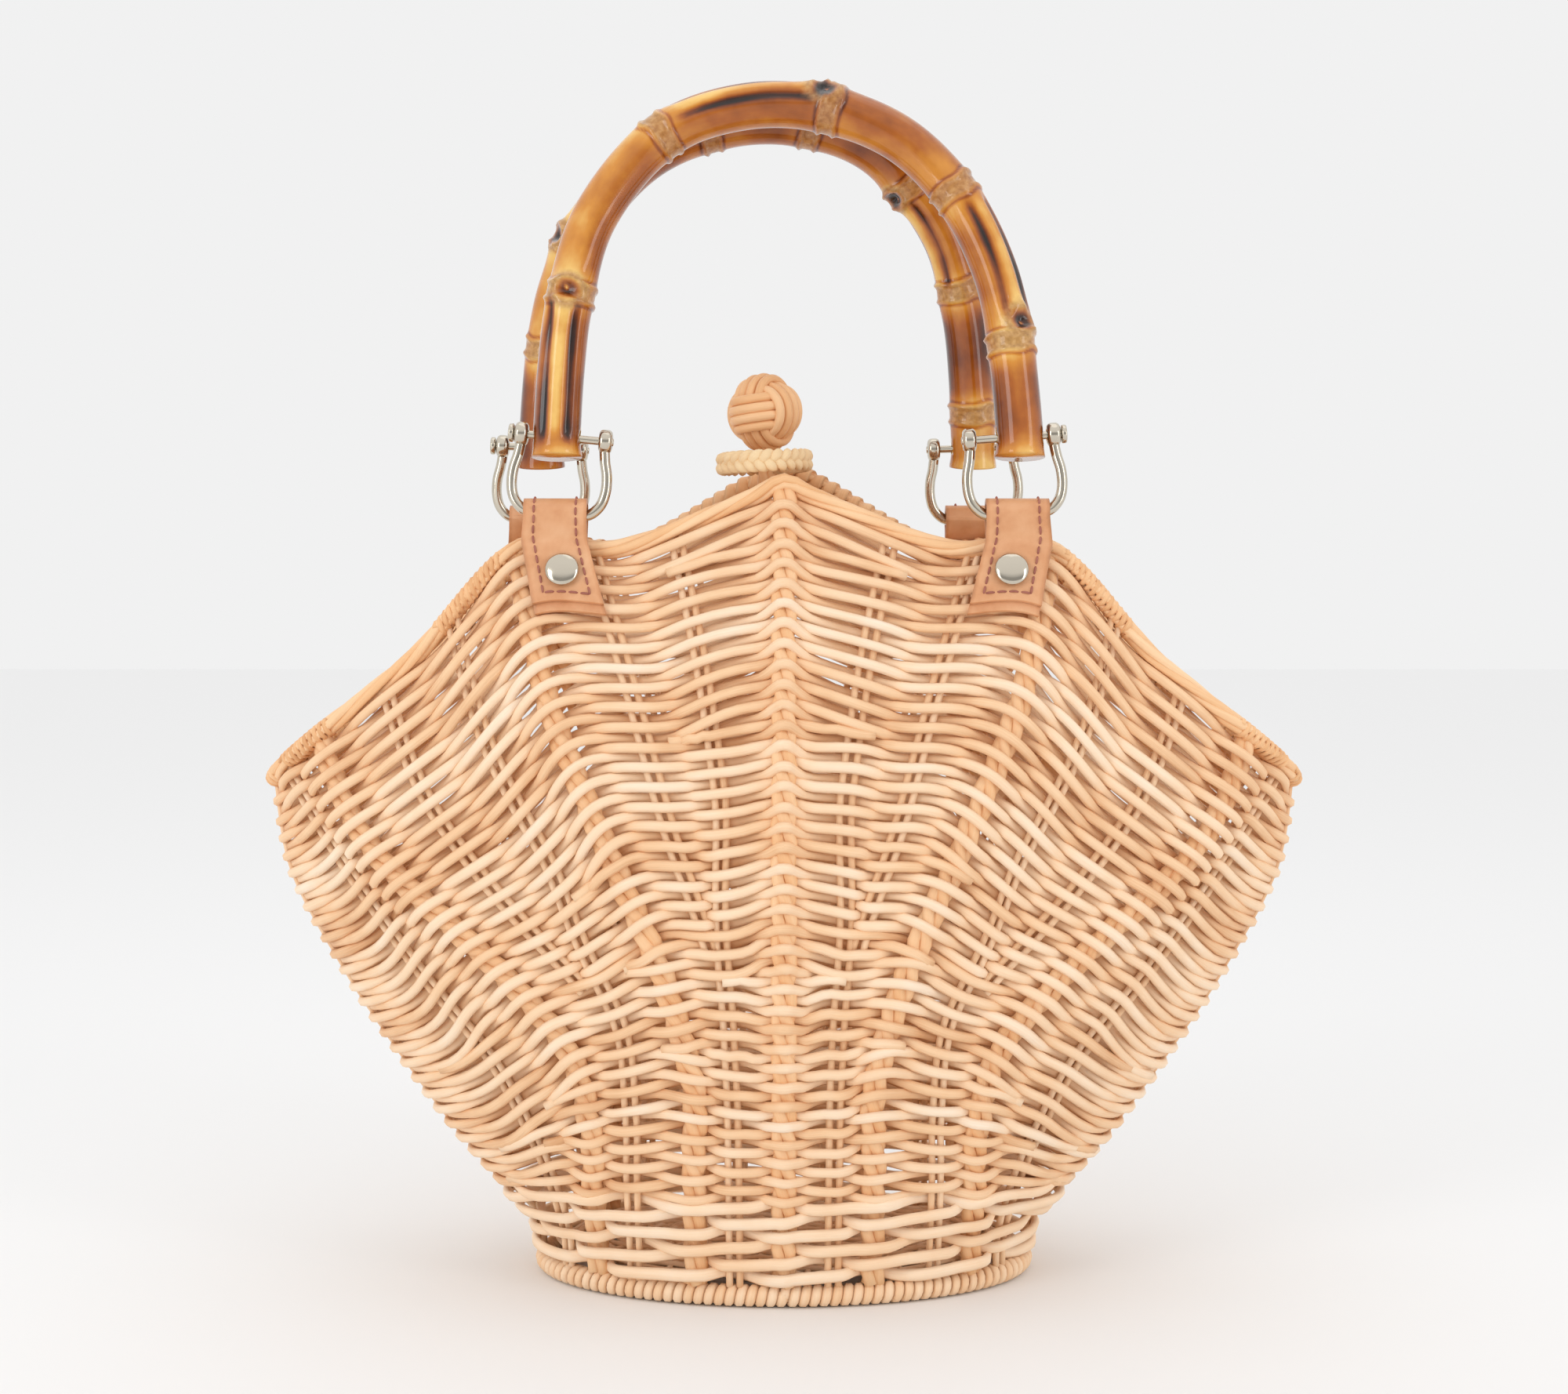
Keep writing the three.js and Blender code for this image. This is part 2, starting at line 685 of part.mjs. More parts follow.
function barAlongX(radius, fromX, toX, z, sides) {
  const bar = new THREE.CylinderGeometry(radius, radius, toX - fromX, sides);
  bar.rotateZ(Math.PI / 2);
  bar.translate((fromX + toX) / 2, 0, z);
  return bar;
}

function bowPath() {
  const points = [
    [-earHalfSpacing, bowReach], [-earHalfSpacing, bowReach * 0.82], [-bowHalfWidth, bowReach * 0.5],
    [-bowHalfWidth, bowReach * 0.25], [-bowHalfWidth + bowCornerInset, bowReach * 0.08],
    [-bowStraight, 0], [-bowStraight / 2, 0],
  ];
  const right = points.map(([x, z]) => [-x, z]).reverse();
  return new THREE.CatmullRomCurve3(
    [...points, [0, 0], ...right].map(([x, z]) => new THREE.Vector3(x, 0, z)), false, "centripetal",
  );
}

function shackleGeometry(hanging) {
  let shackle = toSolid(tube(bowPath(), wireRadius, WIRE_SIDES, BOW_STEPS));
  const halfEar = earThickness / 2;
  for (const side of [-1, 1]) {
    const x = side * earHalfSpacing;
    shackle = shackle.add(toSolid(barAlongX(earRadius, x - halfEar, x + halfEar, bowReach, ROUND_SIDES)));
  }
  const reach = earHalfSpacing + earThickness;
  const drill = barAlongX(pinRadius + clearance, -reach, reach, bowReach, FOLD_HOLE_SIDES);
  return placeOnFold(toGeometry(shackle.subtract(toSolid(drill))), hanging);
}

function pinGeometry(hanging) {
  const face = earHalfSpacing + earThickness / 2;
  const shank = barAlongX(pinRadius, -face, face + clearance + pinHeadThickness / 2, bowReach, WIRE_SIDES);
  const headStart = face + clearance;
  const head = barAlongX(pinHeadRadius, headStart, headStart + pinHeadThickness, bowReach, ROUND_SIDES);
  const pin = toGeometry(toSolid(shank).add(toSolid(head)));
  if (hanging.leg < 0) pin.rotateZ(Math.PI);
  return placeOnFold(pin, hanging);
}

// Handles

function handleGeometry(front, nodes, mirrored) {
  const pins = pinAxes[front];
  const flip = mirrored ? -1 : 1;
  const rows = mirrored ? ARCH.slice().reverse() : ARCH;
  const middle = rows.map((row) => new THREE.Vector3(
    flip * row.out * handleHalfSpan, 0, row.up * handleRise,
  ));
  const leftEnd = new THREE.Vector3(-handleHalfSpan, 0, -legBelowPin);
  const rightEnd = new THREE.Vector3(handleHalfSpan, 0, -legBelowPin);
  const path = new THREE.CatmullRomCurve3([leftEnd, ...middle, rightEnd], false, "centripetal");
  const length = path.getLength();
  const rings = [];
  const shares = [];
  for (let i = 0; i <= HANDLE_STEPS; i += 1) shares.push(i / HANDLE_STEPS);
  for (const node of nodes) {
    for (const offset of [-1, 0, 1]) shares.push(node + offset * nodeHalfLength / 2 / length);
  }
  shares.sort((a, b) => a - b);
  for (const share of shares) {
    const centre = path.getPointAt(share);
    const tangent = path.getTangentAt(share);
    const side = new THREE.Vector3(0, 1, 0);
    const normal = side.clone().cross(tangent).normalize();
    const nearest = Math.min(...nodes.map((node) => Math.abs(node - share) * length));
    const swell = nodeSwell * Math.exp(-((nearest / (nodeHalfLength / 2)) ** 2));
    const radius = bambooRadius + swell;
    const ring = [];
    for (let k = 0; k < HANDLE_SIDES; k += 1) {
      const angle = 2 * Math.PI * k / HANDLE_SIDES;
      ring.push(centre.clone().addScaledVector(normal, radius * Math.cos(angle))
        .addScaledVector(side, radius * Math.sin(angle)));
    }
    rings.push(ring);
  }
  let handle = toSolid(loft(rings, false));
  for (const x of [-handleHalfSpan, handleHalfSpan]) {
    const hole = barAlongX(pinHoleRadius, x - 2 * bambooRadius, x + 2 * bambooRadius, 0,
      HANDLE_SIDES);
    handle = handle.subtract(toSolid(hole));
  }
  const geometry = toGeometry(handle);
  geometry.rotateX(THREE.MathUtils.degToRad((front ? -1 : 1) * handleLean));
  geometry.translate(front ? frontHandleOffset : backHandleOffset, pins.y, pins.z);
  return geometry;
}

addBasket();
addClosure();
for (const hanging of HANGINGS) {
  addTab(hanging);
  addMesh(`shackle_${hanging.name}`, shackleGeometry(hanging), "metal");
  addMesh(`pin_${hanging.name}`, pinGeometry(hanging), "metal");
}
addMesh("handle_front", handleGeometry(true, FRONT_NODES, false), "bamboo");
addMesh("handle_back", handleGeometry(false, BACK_NODES, true), "bamboo");

export default bag;
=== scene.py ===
# %% [markdown]
# # A straw basket bag, built round its CAD frame
#
# The bag is a fan of woven rattan on an oval foot, with two bamboo handles that swing on
# shackles in leather tabs, and a woven ball with a braided loop as the closure. The CAD model
# gives every size and place, and this lesson dresses it: each strand of the weave is modelled
# as its own tube, because the light between the strands is what makes a basket look woven.

# %% Load the frame
import bpy
import math
import numpy as np
from mathutils import Matrix, Vector


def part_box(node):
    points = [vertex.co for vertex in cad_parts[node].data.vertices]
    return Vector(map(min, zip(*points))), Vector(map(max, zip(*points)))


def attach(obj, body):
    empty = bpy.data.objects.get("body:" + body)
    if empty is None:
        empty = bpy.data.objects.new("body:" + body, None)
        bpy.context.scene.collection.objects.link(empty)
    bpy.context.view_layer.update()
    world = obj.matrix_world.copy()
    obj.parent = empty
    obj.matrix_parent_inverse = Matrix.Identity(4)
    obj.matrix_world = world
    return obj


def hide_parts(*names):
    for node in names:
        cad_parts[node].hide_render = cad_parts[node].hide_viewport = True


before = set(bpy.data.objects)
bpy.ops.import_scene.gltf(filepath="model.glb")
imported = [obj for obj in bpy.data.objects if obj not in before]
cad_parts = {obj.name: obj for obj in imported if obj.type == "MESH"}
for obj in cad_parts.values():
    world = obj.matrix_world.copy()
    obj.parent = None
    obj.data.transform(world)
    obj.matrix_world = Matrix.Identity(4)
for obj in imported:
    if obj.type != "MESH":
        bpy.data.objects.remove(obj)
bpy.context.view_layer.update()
bpy.ops.object.select_all(action="DESELECT")

# %% [markdown]
# ## Camera and light
#
# A product photograph like this one is taken from a little above the middle of the bag with a
# long lens, in a pale studio with soft light from all sides. The camera comes first, so that
# every piece can be judged through it. Three large area lights stand in for the soft boxes.

# %% Camera
CAMERA_DISTANCE = 0.806
CAMERA_RISE = math.radians(3.3)
CAMERA_TARGET = Vector((0.0, 0.0, 0.179))

camera_data = bpy.data.cameras.new("camera")
camera_data.lens = 59.5
camera_data.sensor_width = 36.0
camera = bpy.data.objects.new("camera", camera_data)
bpy.context.collection.objects.link(camera)
towards_camera = Vector((0.0, -math.cos(CAMERA_RISE), math.sin(CAMERA_RISE)))
camera.location = CAMERA_TARGET + towards_camera * CAMERA_DISTANCE
camera.rotation_euler = (math.pi / 2 - CAMERA_RISE, 0.0, 0.0)
bpy.context.scene.camera = camera
bpy.context.scene.view_settings.view_transform = "Standard"
print("camera at", [round(value, 3) for value in camera.location])

# %% Studio light
def soft_box(name, place, aim, size, power):
    """An area light of the given size in metres, turned towards aim."""
    light = bpy.data.lights.new(name, "AREA")
    light.shape = "RECTANGLE"
    light.size, light.size_y = size
    light.energy = power
    lamp = bpy.data.objects.new(name, light)
    lamp.location = place
    lamp.rotation_euler = (Vector(aim) - Vector(place)).to_track_quat("-Z", "Y").to_euler()
    bpy.context.collection.objects.link(lamp)


soft_box("left_soft_box", (-1.1, -1.1, 0.55), (0, 0, 0.17), (0.55, 1.0), 5.4)
soft_box("right_soft_box", (1.2, -0.9, 0.5), (0, 0, 0.17), (0.4, 1.0), 3.4)
soft_box("top_soft_box", (0.1, 0.1, 1.3), (0, 0, 0.1), (0.9, 0.7), 0.8)

# %% [markdown]
# The room gives the rest: pale walls that the camera sees behind the bag, a brighter ceiling,
# and a greyer side behind the camera, low down, which the polished metal and the lacquer need
# for their contrast.

# %% Studio room
def add_node(tree, kind, inputs=None, **settings):
    """Adds a node, sets its properties, and sets or links its inputs."""
    made = tree.nodes.new(kind)
    for name, value in settings.items():
        setattr(made, name, value)
    for key, value in (inputs or {}).items():
        if isinstance(value, bpy.types.NodeSocket):
            tree.links.new(value, made.inputs[key])
        else:
            made.inputs[key].default_value = value
    return made


def calculate(tree, operation, *values, clamp=False):
    """The result of a maths node on one to three values."""
    return add_node(tree, "ShaderNodeMath", dict(enumerate(values)), operation=operation,
                    use_clamp=clamp).outputs[0]


def remap(tree, value, first, last, to_first=0.0, to_last=1.0):
    """A value moved from one range to another and held inside it."""
    return add_node(tree, "ShaderNodeMapRange", {
        "Value": value, "From Min": first, "From Max": last, "To Min": to_first,
        "To Max": to_last}).outputs[0]


WALL_LIGHT = 0.88
CEILING_LIGHT = 1.03
DARK_SIDE_LIGHT = 0.42
world = bpy.data.worlds.new("studio")
bpy.context.scene.world = world
world.use_nodes = True
room = world.node_tree
heading = add_node(room, "ShaderNodeSeparateXYZ", {
    "Vector": add_node(room, "ShaderNodeTexCoord").outputs["Generated"]})
ceiling = remap(room, heading.outputs["Z"], 0.2, 0.8, WALL_LIGHT, CEILING_LIGHT)
behind = remap(room, heading.outputs["Y"], -0.35, -0.75)
low_down = remap(room, heading.outputs["Z"], 0.45, 0.2)
dark_part = calculate(room, "MULTIPLY", behind, low_down)
light_part = remap(room, dark_part, 0.0, 1.0, 1.0, DARK_SIDE_LIGHT / WALL_LIGHT)
strength = calculate(room, "MULTIPLY", ceiling, light_part)
room.links.new(strength, room.nodes["Background"].inputs["Strength"])
room.nodes["Background"].inputs["Color"].default_value = (1, 1, 1, 1)
print("wall, ceiling and dark side", WALL_LIGHT, CEILING_LIGHT, DARK_SIDE_LIGHT)

# %% [markdown]
# ## Colours and nodes
#
# Colours are written the way a paint chart gives them, as sRGB hex, and Blender works in linear
# light, so one function turns them over.

# %% Colour and material helpers
def linear(code):
    """An sRGB hex colour as linear RGBA."""
    channels = [int(code[i:i + 2], 16) / 255 for i in (1, 3, 5)]
    return [c / 12.92 if c <= 0.04045 else ((c + 0.055) / 1.055) ** 2.4 for c in channels] + [1.0]


def blank_material(name):
    """A material with a Principled surface; returns the material, its tree and the surface."""
    made = bpy.data.materials.new(name)
    made.use_nodes = True
    tree = made.node_tree
    return made, tree, tree.nodes["Principled BSDF"]


def colour_ramp(tree, value, stops):
    """Colours a value by a row of (place, hex) stops."""
    ramp = add_node(tree, "ShaderNodeValToRGB", {"Fac": value})
    while len(ramp.color_ramp.elements) < len(stops):
        ramp.color_ramp.elements.new(1.0)
    for element, (place, code) in zip(ramp.color_ramp.elements, stops):
        element.position = place
        element.color = linear(code)
    return ramp.outputs["Color"]


def noise(tree, place, scale, detail):
    """Soft random patches, from 0 to 1."""
    return add_node(tree, "ShaderNodeTexNoise", {
        "Vector": place, "Scale": scale, "Detail": detail}).outputs["Fac"]


def object_place(tree):
    """The place on the object, in metres."""
    return add_node(tree, "ShaderNodeTexCoord").outputs["Object"]


def strand_place(tree, scale):
    """The place along and round a strand, in metres times the scale."""
    along = add_node(tree, "ShaderNodeUVMap", uv_map="UVMap").outputs["UV"]
    return add_node(tree, "ShaderNodeMapping", {
        "Vector": along, "Scale": scale}).outputs["Vector"]


def vertex_value(tree, name):
    """A number that the mesh carries at each vertex."""
    return add_node(tree, "ShaderNodeAttribute", attribute_name=name).outputs["Fac"]


def raise_surface(tree, surface, height, strength, distance):
    """Fine relief by a height value."""
    bump = add_node(tree, "ShaderNodeBump", {
        "Height": height, "Strength": strength, "Distance": distance})
    tree.links.new(bump.outputs["Normal"], surface.inputs["Normal"])


# %% Floor
bpy.ops.mesh.primitive_plane_add(size=8)
floor = bpy.context.object
floor.name = "floor"
floor_paint, _, floor_surface = blank_material("matt_white_studio_floor")
floor_surface.inputs["Base Color"].default_value = linear("#EFEFEF")
floor_surface.inputs["Roughness"].default_value = 0.9
floor.data.materials.append(floor_paint)

# %% [markdown]
# ## Rattan
#
# Peeled rattan core is a straight-grained, slightly woolly reed with a satin surface. Each reed
# has its own tone between honey and straw, and fine fibres run along it. The strands carry a UV
# map in metres, along and round the reed, so the fibres follow every bend, and an attribute
# "tone" that gives each strand its own shade. The tone also holds painted shade: it is lower
# where a reed passes behind a stake, and on the stakes themselves.

# %% Rattan materials
FIBRE_WIDTH = 0.00045
FIBRE_LENGTH = 0.014
FIBRE_RELIEF = 0.0002
FIBRE_SHARE = 0.35
PATCH_SHARE = 0.5
TONE_SHARE = 0.75
SHADE_DROP = 0.125


def reed_material(name, stops, roughness, relief):
    """Rattan reed whose tone attribute picks a colour, with fibres along the strand."""
    made, tree, surface = blank_material(name)
    fibres = noise(tree, strand_place(tree, (1 / FIBRE_LENGTH, 1 / FIBRE_WIDTH, 1)), 1.0, 3.0)
    patches = noise(tree, object_place(tree), 70.0, 2.0)
    shade = calculate(tree, "MULTIPLY_ADD", fibres, FIBRE_SHARE, -FIBRE_SHARE / 2)
    shade = calculate(tree, "MULTIPLY_ADD", patches, PATCH_SHARE, shade)
    shade = calculate(tree, "MULTIPLY_ADD", vertex_value(tree, "tone"), TONE_SHARE, shade)
    shade = calculate(tree, "SUBTRACT", shade, SHADE_DROP, clamp=True)
    tree.links.new(colour_ramp(tree, shade, stops), surface.inputs["Base Color"])
    raise_surface(tree, surface, fibres, relief, FIBRE_RELIEF)
    surface.inputs["Roughness"].default_value = roughness
    surface.inputs["IOR"].default_value = 1.5
    surface.inputs["Specular IOR Level"].default_value = 0.35
    return made


peeled_reed = reed_material("peeled_rattan_core", [
    (0.0, "#E0AB7C"), (0.3, "#F5CBA0"), (0.6, "#FCDDBB"), (0.85, "#FDE8D0"), (1.0, "#FEF0DF")],
    0.6, 0.35)
golden_reed = reed_material("golden_rattan_core", [
    (0.0, "#D89B66"), (0.4, "#F2BF8C"), (0.8, "#FAD2A6"), (1.0, "#FCE0BC")], 0.5, 0.3)

# %% [markdown]
# ## The form of the basket
#
# The wall is described as the maker sees it: ribs run up from the foot and fan out, and the
# reed goes round them. A place on the wall is a turn, counted in ribs from the middle of the
# front to the right and round the back, and a share of the way up the rib. These are the same
# ribs as in the CAD model, so the strands lie where the solid wall is.

# %% Sizes of the basket, in millimetres
BASKET_HALF_WIDTH = 160.5
BASKET_HEIGHT = 249.0
BELLY_HALF_DEPTH = 58.0
MOUTH_HALF_DEPTH = 23.0
FOOT_HALF_WIDTH = 78.5
FOOT_HALF_DEPTH = 50.0
WALL_THICKNESS = 5.0
RIDGE_HEIGHT = 3.0
BACK_PEAK_RAISE = 6.0
LENS_SHARE = 0.3
FOOT_BORDER_HEIGHT = 7.0
FOOT_BORDER_WIDTH = 8.0
RIM_HEIGHT = 5.5
RIM_WIDTH = 7.0

HEIGHT_STEPS = [0, 0.1, 0.2, 0.3, 0.45, 0.6, 0.8, 1]
# foot place, rim place and rim height as shares, ridge, back raise, and the spread at each step
RIBS = [
    (0, 0, 1, 1, 1, [0, 0, 0, 0, 0, 0, 0, 1]),
    (0.08, 0.075, 0.977, 0.3, 1.1, [0, 0, 0, 0, 0.05, 0.2, 0.55, 1]),
    (0.19, 0.305, 0.92, 0, 0.1, [0, 0, 0, 0.01, 0.08, 0.3, 0.6, 1]),
    (0.344, 0.505, 0.917, 1, 0, [0, 0, 0, 0, 0.18, 0.46, 0.81, 1]),
    (0.595, 0.704, 0.785, 0, 0, [0, 0, 0, 0, 0.06, 0.37, 0.77, 1]),
    (0.754, 0.91, 0.681, 0.9, 0, [0, 0, 0, 0, 0.08, 0.35, 0.8, 1]),
    (0.866, 0.978, 0.647, 0.3, 0, [0, 0.003, 0.035, 0.1, 0.243, 0.475, 0.746, 1]),
    (1, 1, 0.627, 0, 0, [0, 0.015, 0.19, 0.354, 0.56, 0.744, 0.94, 1]),
]
# height, swell from the foot to the belly, and closing from the belly to the mouth
PROFILE = [(0, 0, 0), (0.06, 0.05, 0), (0.24, 0.75, 0), (0.44, 1, 0), (0.64, 1, 0.11),
           (0.8, 1, 0.44), (1, 1, 1)]
QUARTER = len(RIBS) - 1
WHOLE_TURN = 4 * QUARTER
RIB_STEPS = 400
DRAWN_STEPS = 2000
TURN_NUDGE = 0.05
SHARE_NUDGE = 0.004


# %% Wall surface
def smooth_curve(points, count):
    """Points of a smooth curve through the given ones."""
    points = np.array(points, float)
    last = len(points) - 1
    place = np.linspace(0, 1, count + 1) * last
    low = np.minimum(place.astype(int), last - 1)
    t = (place - low)[:, None]
    before, start = points[np.maximum(low - 1, 0)], points[low]
    end, after = points[low + 1], points[np.minimum(low + 2, last)]
    leave, arrive = (end - before) / 2, (after - start) / 2
    return ((2 * start - 2 * end + leave + arrive) * t ** 3
            + (3 * end - 3 * start - 2 * leave - arrive) * t ** 2 + leave * t + start)


def length_along(line):
    """Length of a line from its start to each of its points."""
    return np.concatenate([[0], np.cumsum(np.linalg.norm(np.diff(line, axis=0), axis=1))])


def rib_curve(rib):
    """A rib seen from the front, evenly spaced: its x and z at each step, and its length."""
    foot, out, up, _, _, spread = rib
    foot_x, rim_x = foot * FOOT_HALF_WIDTH, out * BASKET_HALF_WIDTH
    curve = smooth_curve([(foot_x + (rim_x - foot_x) * share, step * up * BASKET_HEIGHT)
                          for share, step in zip(spread, HEIGHT_STEPS)], DRAWN_STEPS)
    reach = length_along(curve)
    even = np.linspace(0, reach[-1], RIB_STEPS + 1)
    return np.interp(even, reach, curve[:, 0]), np.interp(even, reach, curve[:, 1]), reach[-1]


rib_x, rib_z, rib_length = (np.array(rows) for rows in zip(*map(rib_curve, RIBS)))
rib_ridge = np.array([rib[3] for rib in RIBS])
rib_raise = np.array([rib[4] for rib in RIBS])
profile = smooth_curve([
    (up * BASKET_HEIGHT, FOOT_HALF_DEPTH + (BELLY_HALF_DEPTH - FOOT_HALF_DEPTH) * swell
     - (BELLY_HALF_DEPTH - MOUTH_HALF_DEPTH) * closing) for up, swell, closing in PROFILE], 60)


def smooth_step(value, low, high):
    """0 at low, 1 at high, and a smooth rise between them."""
    share = np.clip((value - low) / (high - low), 0, 1)
    return share * share * (3 - 2 * share)


def across_ribs(rib, table, mirror_sign, share=None):
    """Smooth blend over four neighbouring ribs, mirrored past the middle and past the side."""
    base = np.minimum(np.floor(rib).astype(int), QUARTER - 1)
    t = rib - base

    def at(index):
        sign = np.where(index < 0, mirror_sign, 1)
        index = np.abs(index)
        index = np.where(index > QUARTER, 2 * QUARTER - index, index)
        if share is None:
            return sign * table[index]
        step = np.clip(share, 0, 1) * (table.shape[1] - 1)
        low = np.minimum(step.astype(int), table.shape[1] - 2)
        return sign * (table[index, low] * (1 - step + low) + table[index, low + 1] * (step - low))

    a, b, c, d = at(base - 1), at(base), at(base + 1), at(base + 2)
    return 0.5 * (2 * b + (c - a) * t + (2 * a - 5 * b + 4 * c - d) * t ** 2
                  + (3 * b - a - 3 * c + d) * t ** 3)


def rib_of_turn(turn):
    """Rib number from the middle, whether it is at the front, and whether it is on the right."""
    turn = np.mod(turn, WHOLE_TURN)
    front = (turn < QUARTER) | (turn > 3 * QUARTER)
    right = turn < 2 * QUARTER
    rib = np.where(right, turn, WHOLE_TURN - turn)
    return np.where(rib > QUARTER, 2 * QUARTER - rib, rib), front, right


def length_up(turn):
    """Length of the wall from the floor to the rim at a turn."""
    return across_ribs(rib_of_turn(turn)[0], rib_length, 1)


def wall_point(turn, share):
    """A point of the wall's outer face at a turn and a share of the way up the rib."""
    rib, front, right = rib_of_turn(turn)
    share = np.clip(share, 0, 1)
    x = across_ribs(rib, rib_x, -1, share)
    flat_z = across_ribs(rib, rib_z, 1, share)
    z = flat_z + np.where(front, 0, across_ribs(rib, rib_raise, 1) * BACK_PEAK_RAISE * share ** 3)
    across = np.clip(np.abs(x) / np.interp(flat_z, rib_z[QUARTER], rib_x[QUARTER]), 0, 1)
    lens_part = LENS_SHARE * smooth_step(share, 0.1, 1)
    oval = (1 - lens_part) * np.sqrt(1 - across ** 2) + lens_part * (1 - across ** 2)
    proud = across_ribs(rib, rib_ridge, 1) * RIDGE_HEIGHT * smooth_step(share, 0.08, 0.35)
    y = np.where(np.abs(rib - QUARTER) < 1e-9, 0,
                 np.interp(z, profile[:, 0], profile[:, 1]) * oval + proud)
    return np.stack([np.where(right, x, -x), np.where(front, -y, y), z], -1)


def unit(rows):
    """The same directions with a length of 1."""
    return rows / np.linalg.norm(rows, axis=-1, keepdims=True)


def wall_frame(turn, height):
    """Point of the wall, its upward and its outward direction, at a height along the rib."""
    turn, height = np.broadcast_arrays(np.asarray(turn, float), np.asarray(height, float))
    share = height / length_up(turn)
    point = wall_point(turn, share)
    side = wall_point(turn + TURN_NUDGE, share) - wall_point(turn - TURN_NUDGE, share)
    up = unit(wall_point(turn, share + SHARE_NUDGE) - wall_point(turn, share - SHARE_NUDGE))
    return point, up, unit(np.cross(side, up))


def on_wall(turn, height, out):
    """Points that stand off the wall by out, in millimetres, and the outward directions."""
    point, _, away = wall_frame(turn, height)
    return point + away * np.asarray(out)[..., None], away


print("wall length at the middle and at the side", length_up(np.array([0.0, 7.0])).round(1))

# %% [markdown]
# ## Strands
#
# A basket is hundreds of metres of reed, far too many strands to model one at a time. Every
# strand is a tube round a path, and the tubes of one kind are joined in one mesh, built from
# arrays. Each path comes with an outward direction, so an oval reed lies flat on the wall.

# %% Tubes round many paths, joined in one mesh
END_GRAIN_TONE = 0.5
# strands take their fibres from this many places, so that no two neighbours look alike
GRAIN_SHIFTS = 97


class Bundle:
    """Collects strands and turns them into one mesh."""

    def __init__(self):
        self.points, self.faces, self.uvs, self.tones, self.count = [], [], [], [], 0

    def strand(self, path, outward, half_height, half_depth, tone, sides=6, closed=False):
        """Adds a tube with an oval section round path. Both ends of an open one are capped."""
        path = np.asarray(path, float)
        rings = len(path)
        if closed:
            tangent = unit(np.roll(path, -1, 0) - np.roll(path, 1, 0))
        else:
            tangent = unit(np.gradient(path, axis=0))
        side = unit(np.cross(tangent, np.broadcast_to(outward, path.shape)))
        away = np.cross(side, tangent)
        angle = np.arange(sides) / sides * 2 * math.pi
        tall = np.broadcast_to(half_height, rings)[:, None, None]
        deep = np.broadcast_to(half_depth, rings)[:, None, None]
        skin = (path[:, None] + side[:, None] * tall * np.cos(angle)[None, :, None]
                + away[:, None] * deep * np.sin(angle)[None, :, None])
        spans = rings if closed else rings - 1
        i = np.arange(spans)[:, None]
        k = np.arange(sides)[None, :]
        near, far = i * sides, ((i + 1) % rings) * sides
        turn_on = (k + 1) % sides
        quads = np.stack([near + k, far + k, far + turn_on, near + turn_on], -1).reshape(-1, 4)
        steps = np.linalg.norm(np.diff(path, axis=0, append=path[:1]), axis=1)
        along = np.concatenate([[0], np.cumsum(steps)])
        girth = 2 * math.pi * (np.mean(tall) + np.mean(deep)) / 2
        u_near, u_far, step = np.broadcast_arrays(along[i], along[i + 1], k)
        u = np.stack([u_near, u_far, u_far, u_near], -1).reshape(-1, 4)
        v = np.stack([step, step, step + 1, step + 1], -1).reshape(-1, 4) / sides * girth
        start = self.count
        self.points.append(skin.reshape(-1, 3))
        self.faces.append(quads + start)
        self.uvs.append(np.stack([u, v + start % GRAIN_SHIFTS], -1))
        self.tones.append(np.repeat(np.broadcast_to(tone, rings), sides))
        self.count += rings * sides
        if not closed:
            self.cap(path[0], 0, start, sides, True, tone)
            self.cap(path[-1], along[rings - 1], start + (rings - 1) * sides, sides, False, tone)

    def cap(self, middle, along, ring_start, sides, first, tone):
        """Closes the end of a tube with a fan, in a darker tone, as a cut reed shows its grain."""
        self.points.append(middle[None])
        k = np.arange(sides)
        here, following = ring_start + k, ring_start + (k + 1) % sides
        if not first:
            here, following = following, here
        middles, no_corner = np.full(sides, self.count), np.full(sides, -1)
        self.faces.append(np.stack([here, following, middles, no_corner], -1))
        self.uvs.append(np.full((sides, 4, 2), along))
        self.tones.append(np.array([np.min(tone) * END_GRAIN_TONE]))
        self.count += 1

    def to_object(self, name, material):
        """The joined mesh as an object, in metres, smooth shaded."""
        faces = np.concatenate(self.faces)
        uvs = np.concatenate(self.uvs)
        corners = faces.ravel()
        keep = corners >= 0
        sizes = (faces >= 0).sum(1)
        mesh = bpy.data.meshes.new(name)
        points = np.concatenate(self.points) / 1000
        mesh.vertices.add(len(points))
        mesh.vertices.foreach_set("co", points.astype(np.float32).ravel())
        mesh.loops.add(int(keep.sum()))
        mesh.loops.foreach_set("vertex_index", corners[keep].astype(np.int32))
        mesh.polygons.add(len(faces))
        starts = np.concatenate([[0], np.cumsum(sizes)[:-1]])
        mesh.polygons.foreach_set("loop_start", starts.astype(np.int32))
        mesh.update(calc_edges=True)
        mesh.polygons.foreach_set("use_smooth", np.ones(len(faces), bool))
        layer = mesh.uv_layers.new(name="UVMap")
        layer.data.foreach_set("uv", (uvs.reshape(-1, 2)[keep] / 1000).astype(np.float32).ravel())
        tones = mesh.attributes.new("tone", "FLOAT", "POINT")
        tones.data.foreach_set("value", np.concatenate(self.tones).astype(np.float32))
        mesh.validate()
        mesh.materials.append(material)
        made = bpy.data.objects.new(name, mesh)
        bpy.context.collection.objects.link(made)
        print(f"{name}: {int((sizes - 2).sum())} triangles")
        return made


random = np.random.default_rng(7)


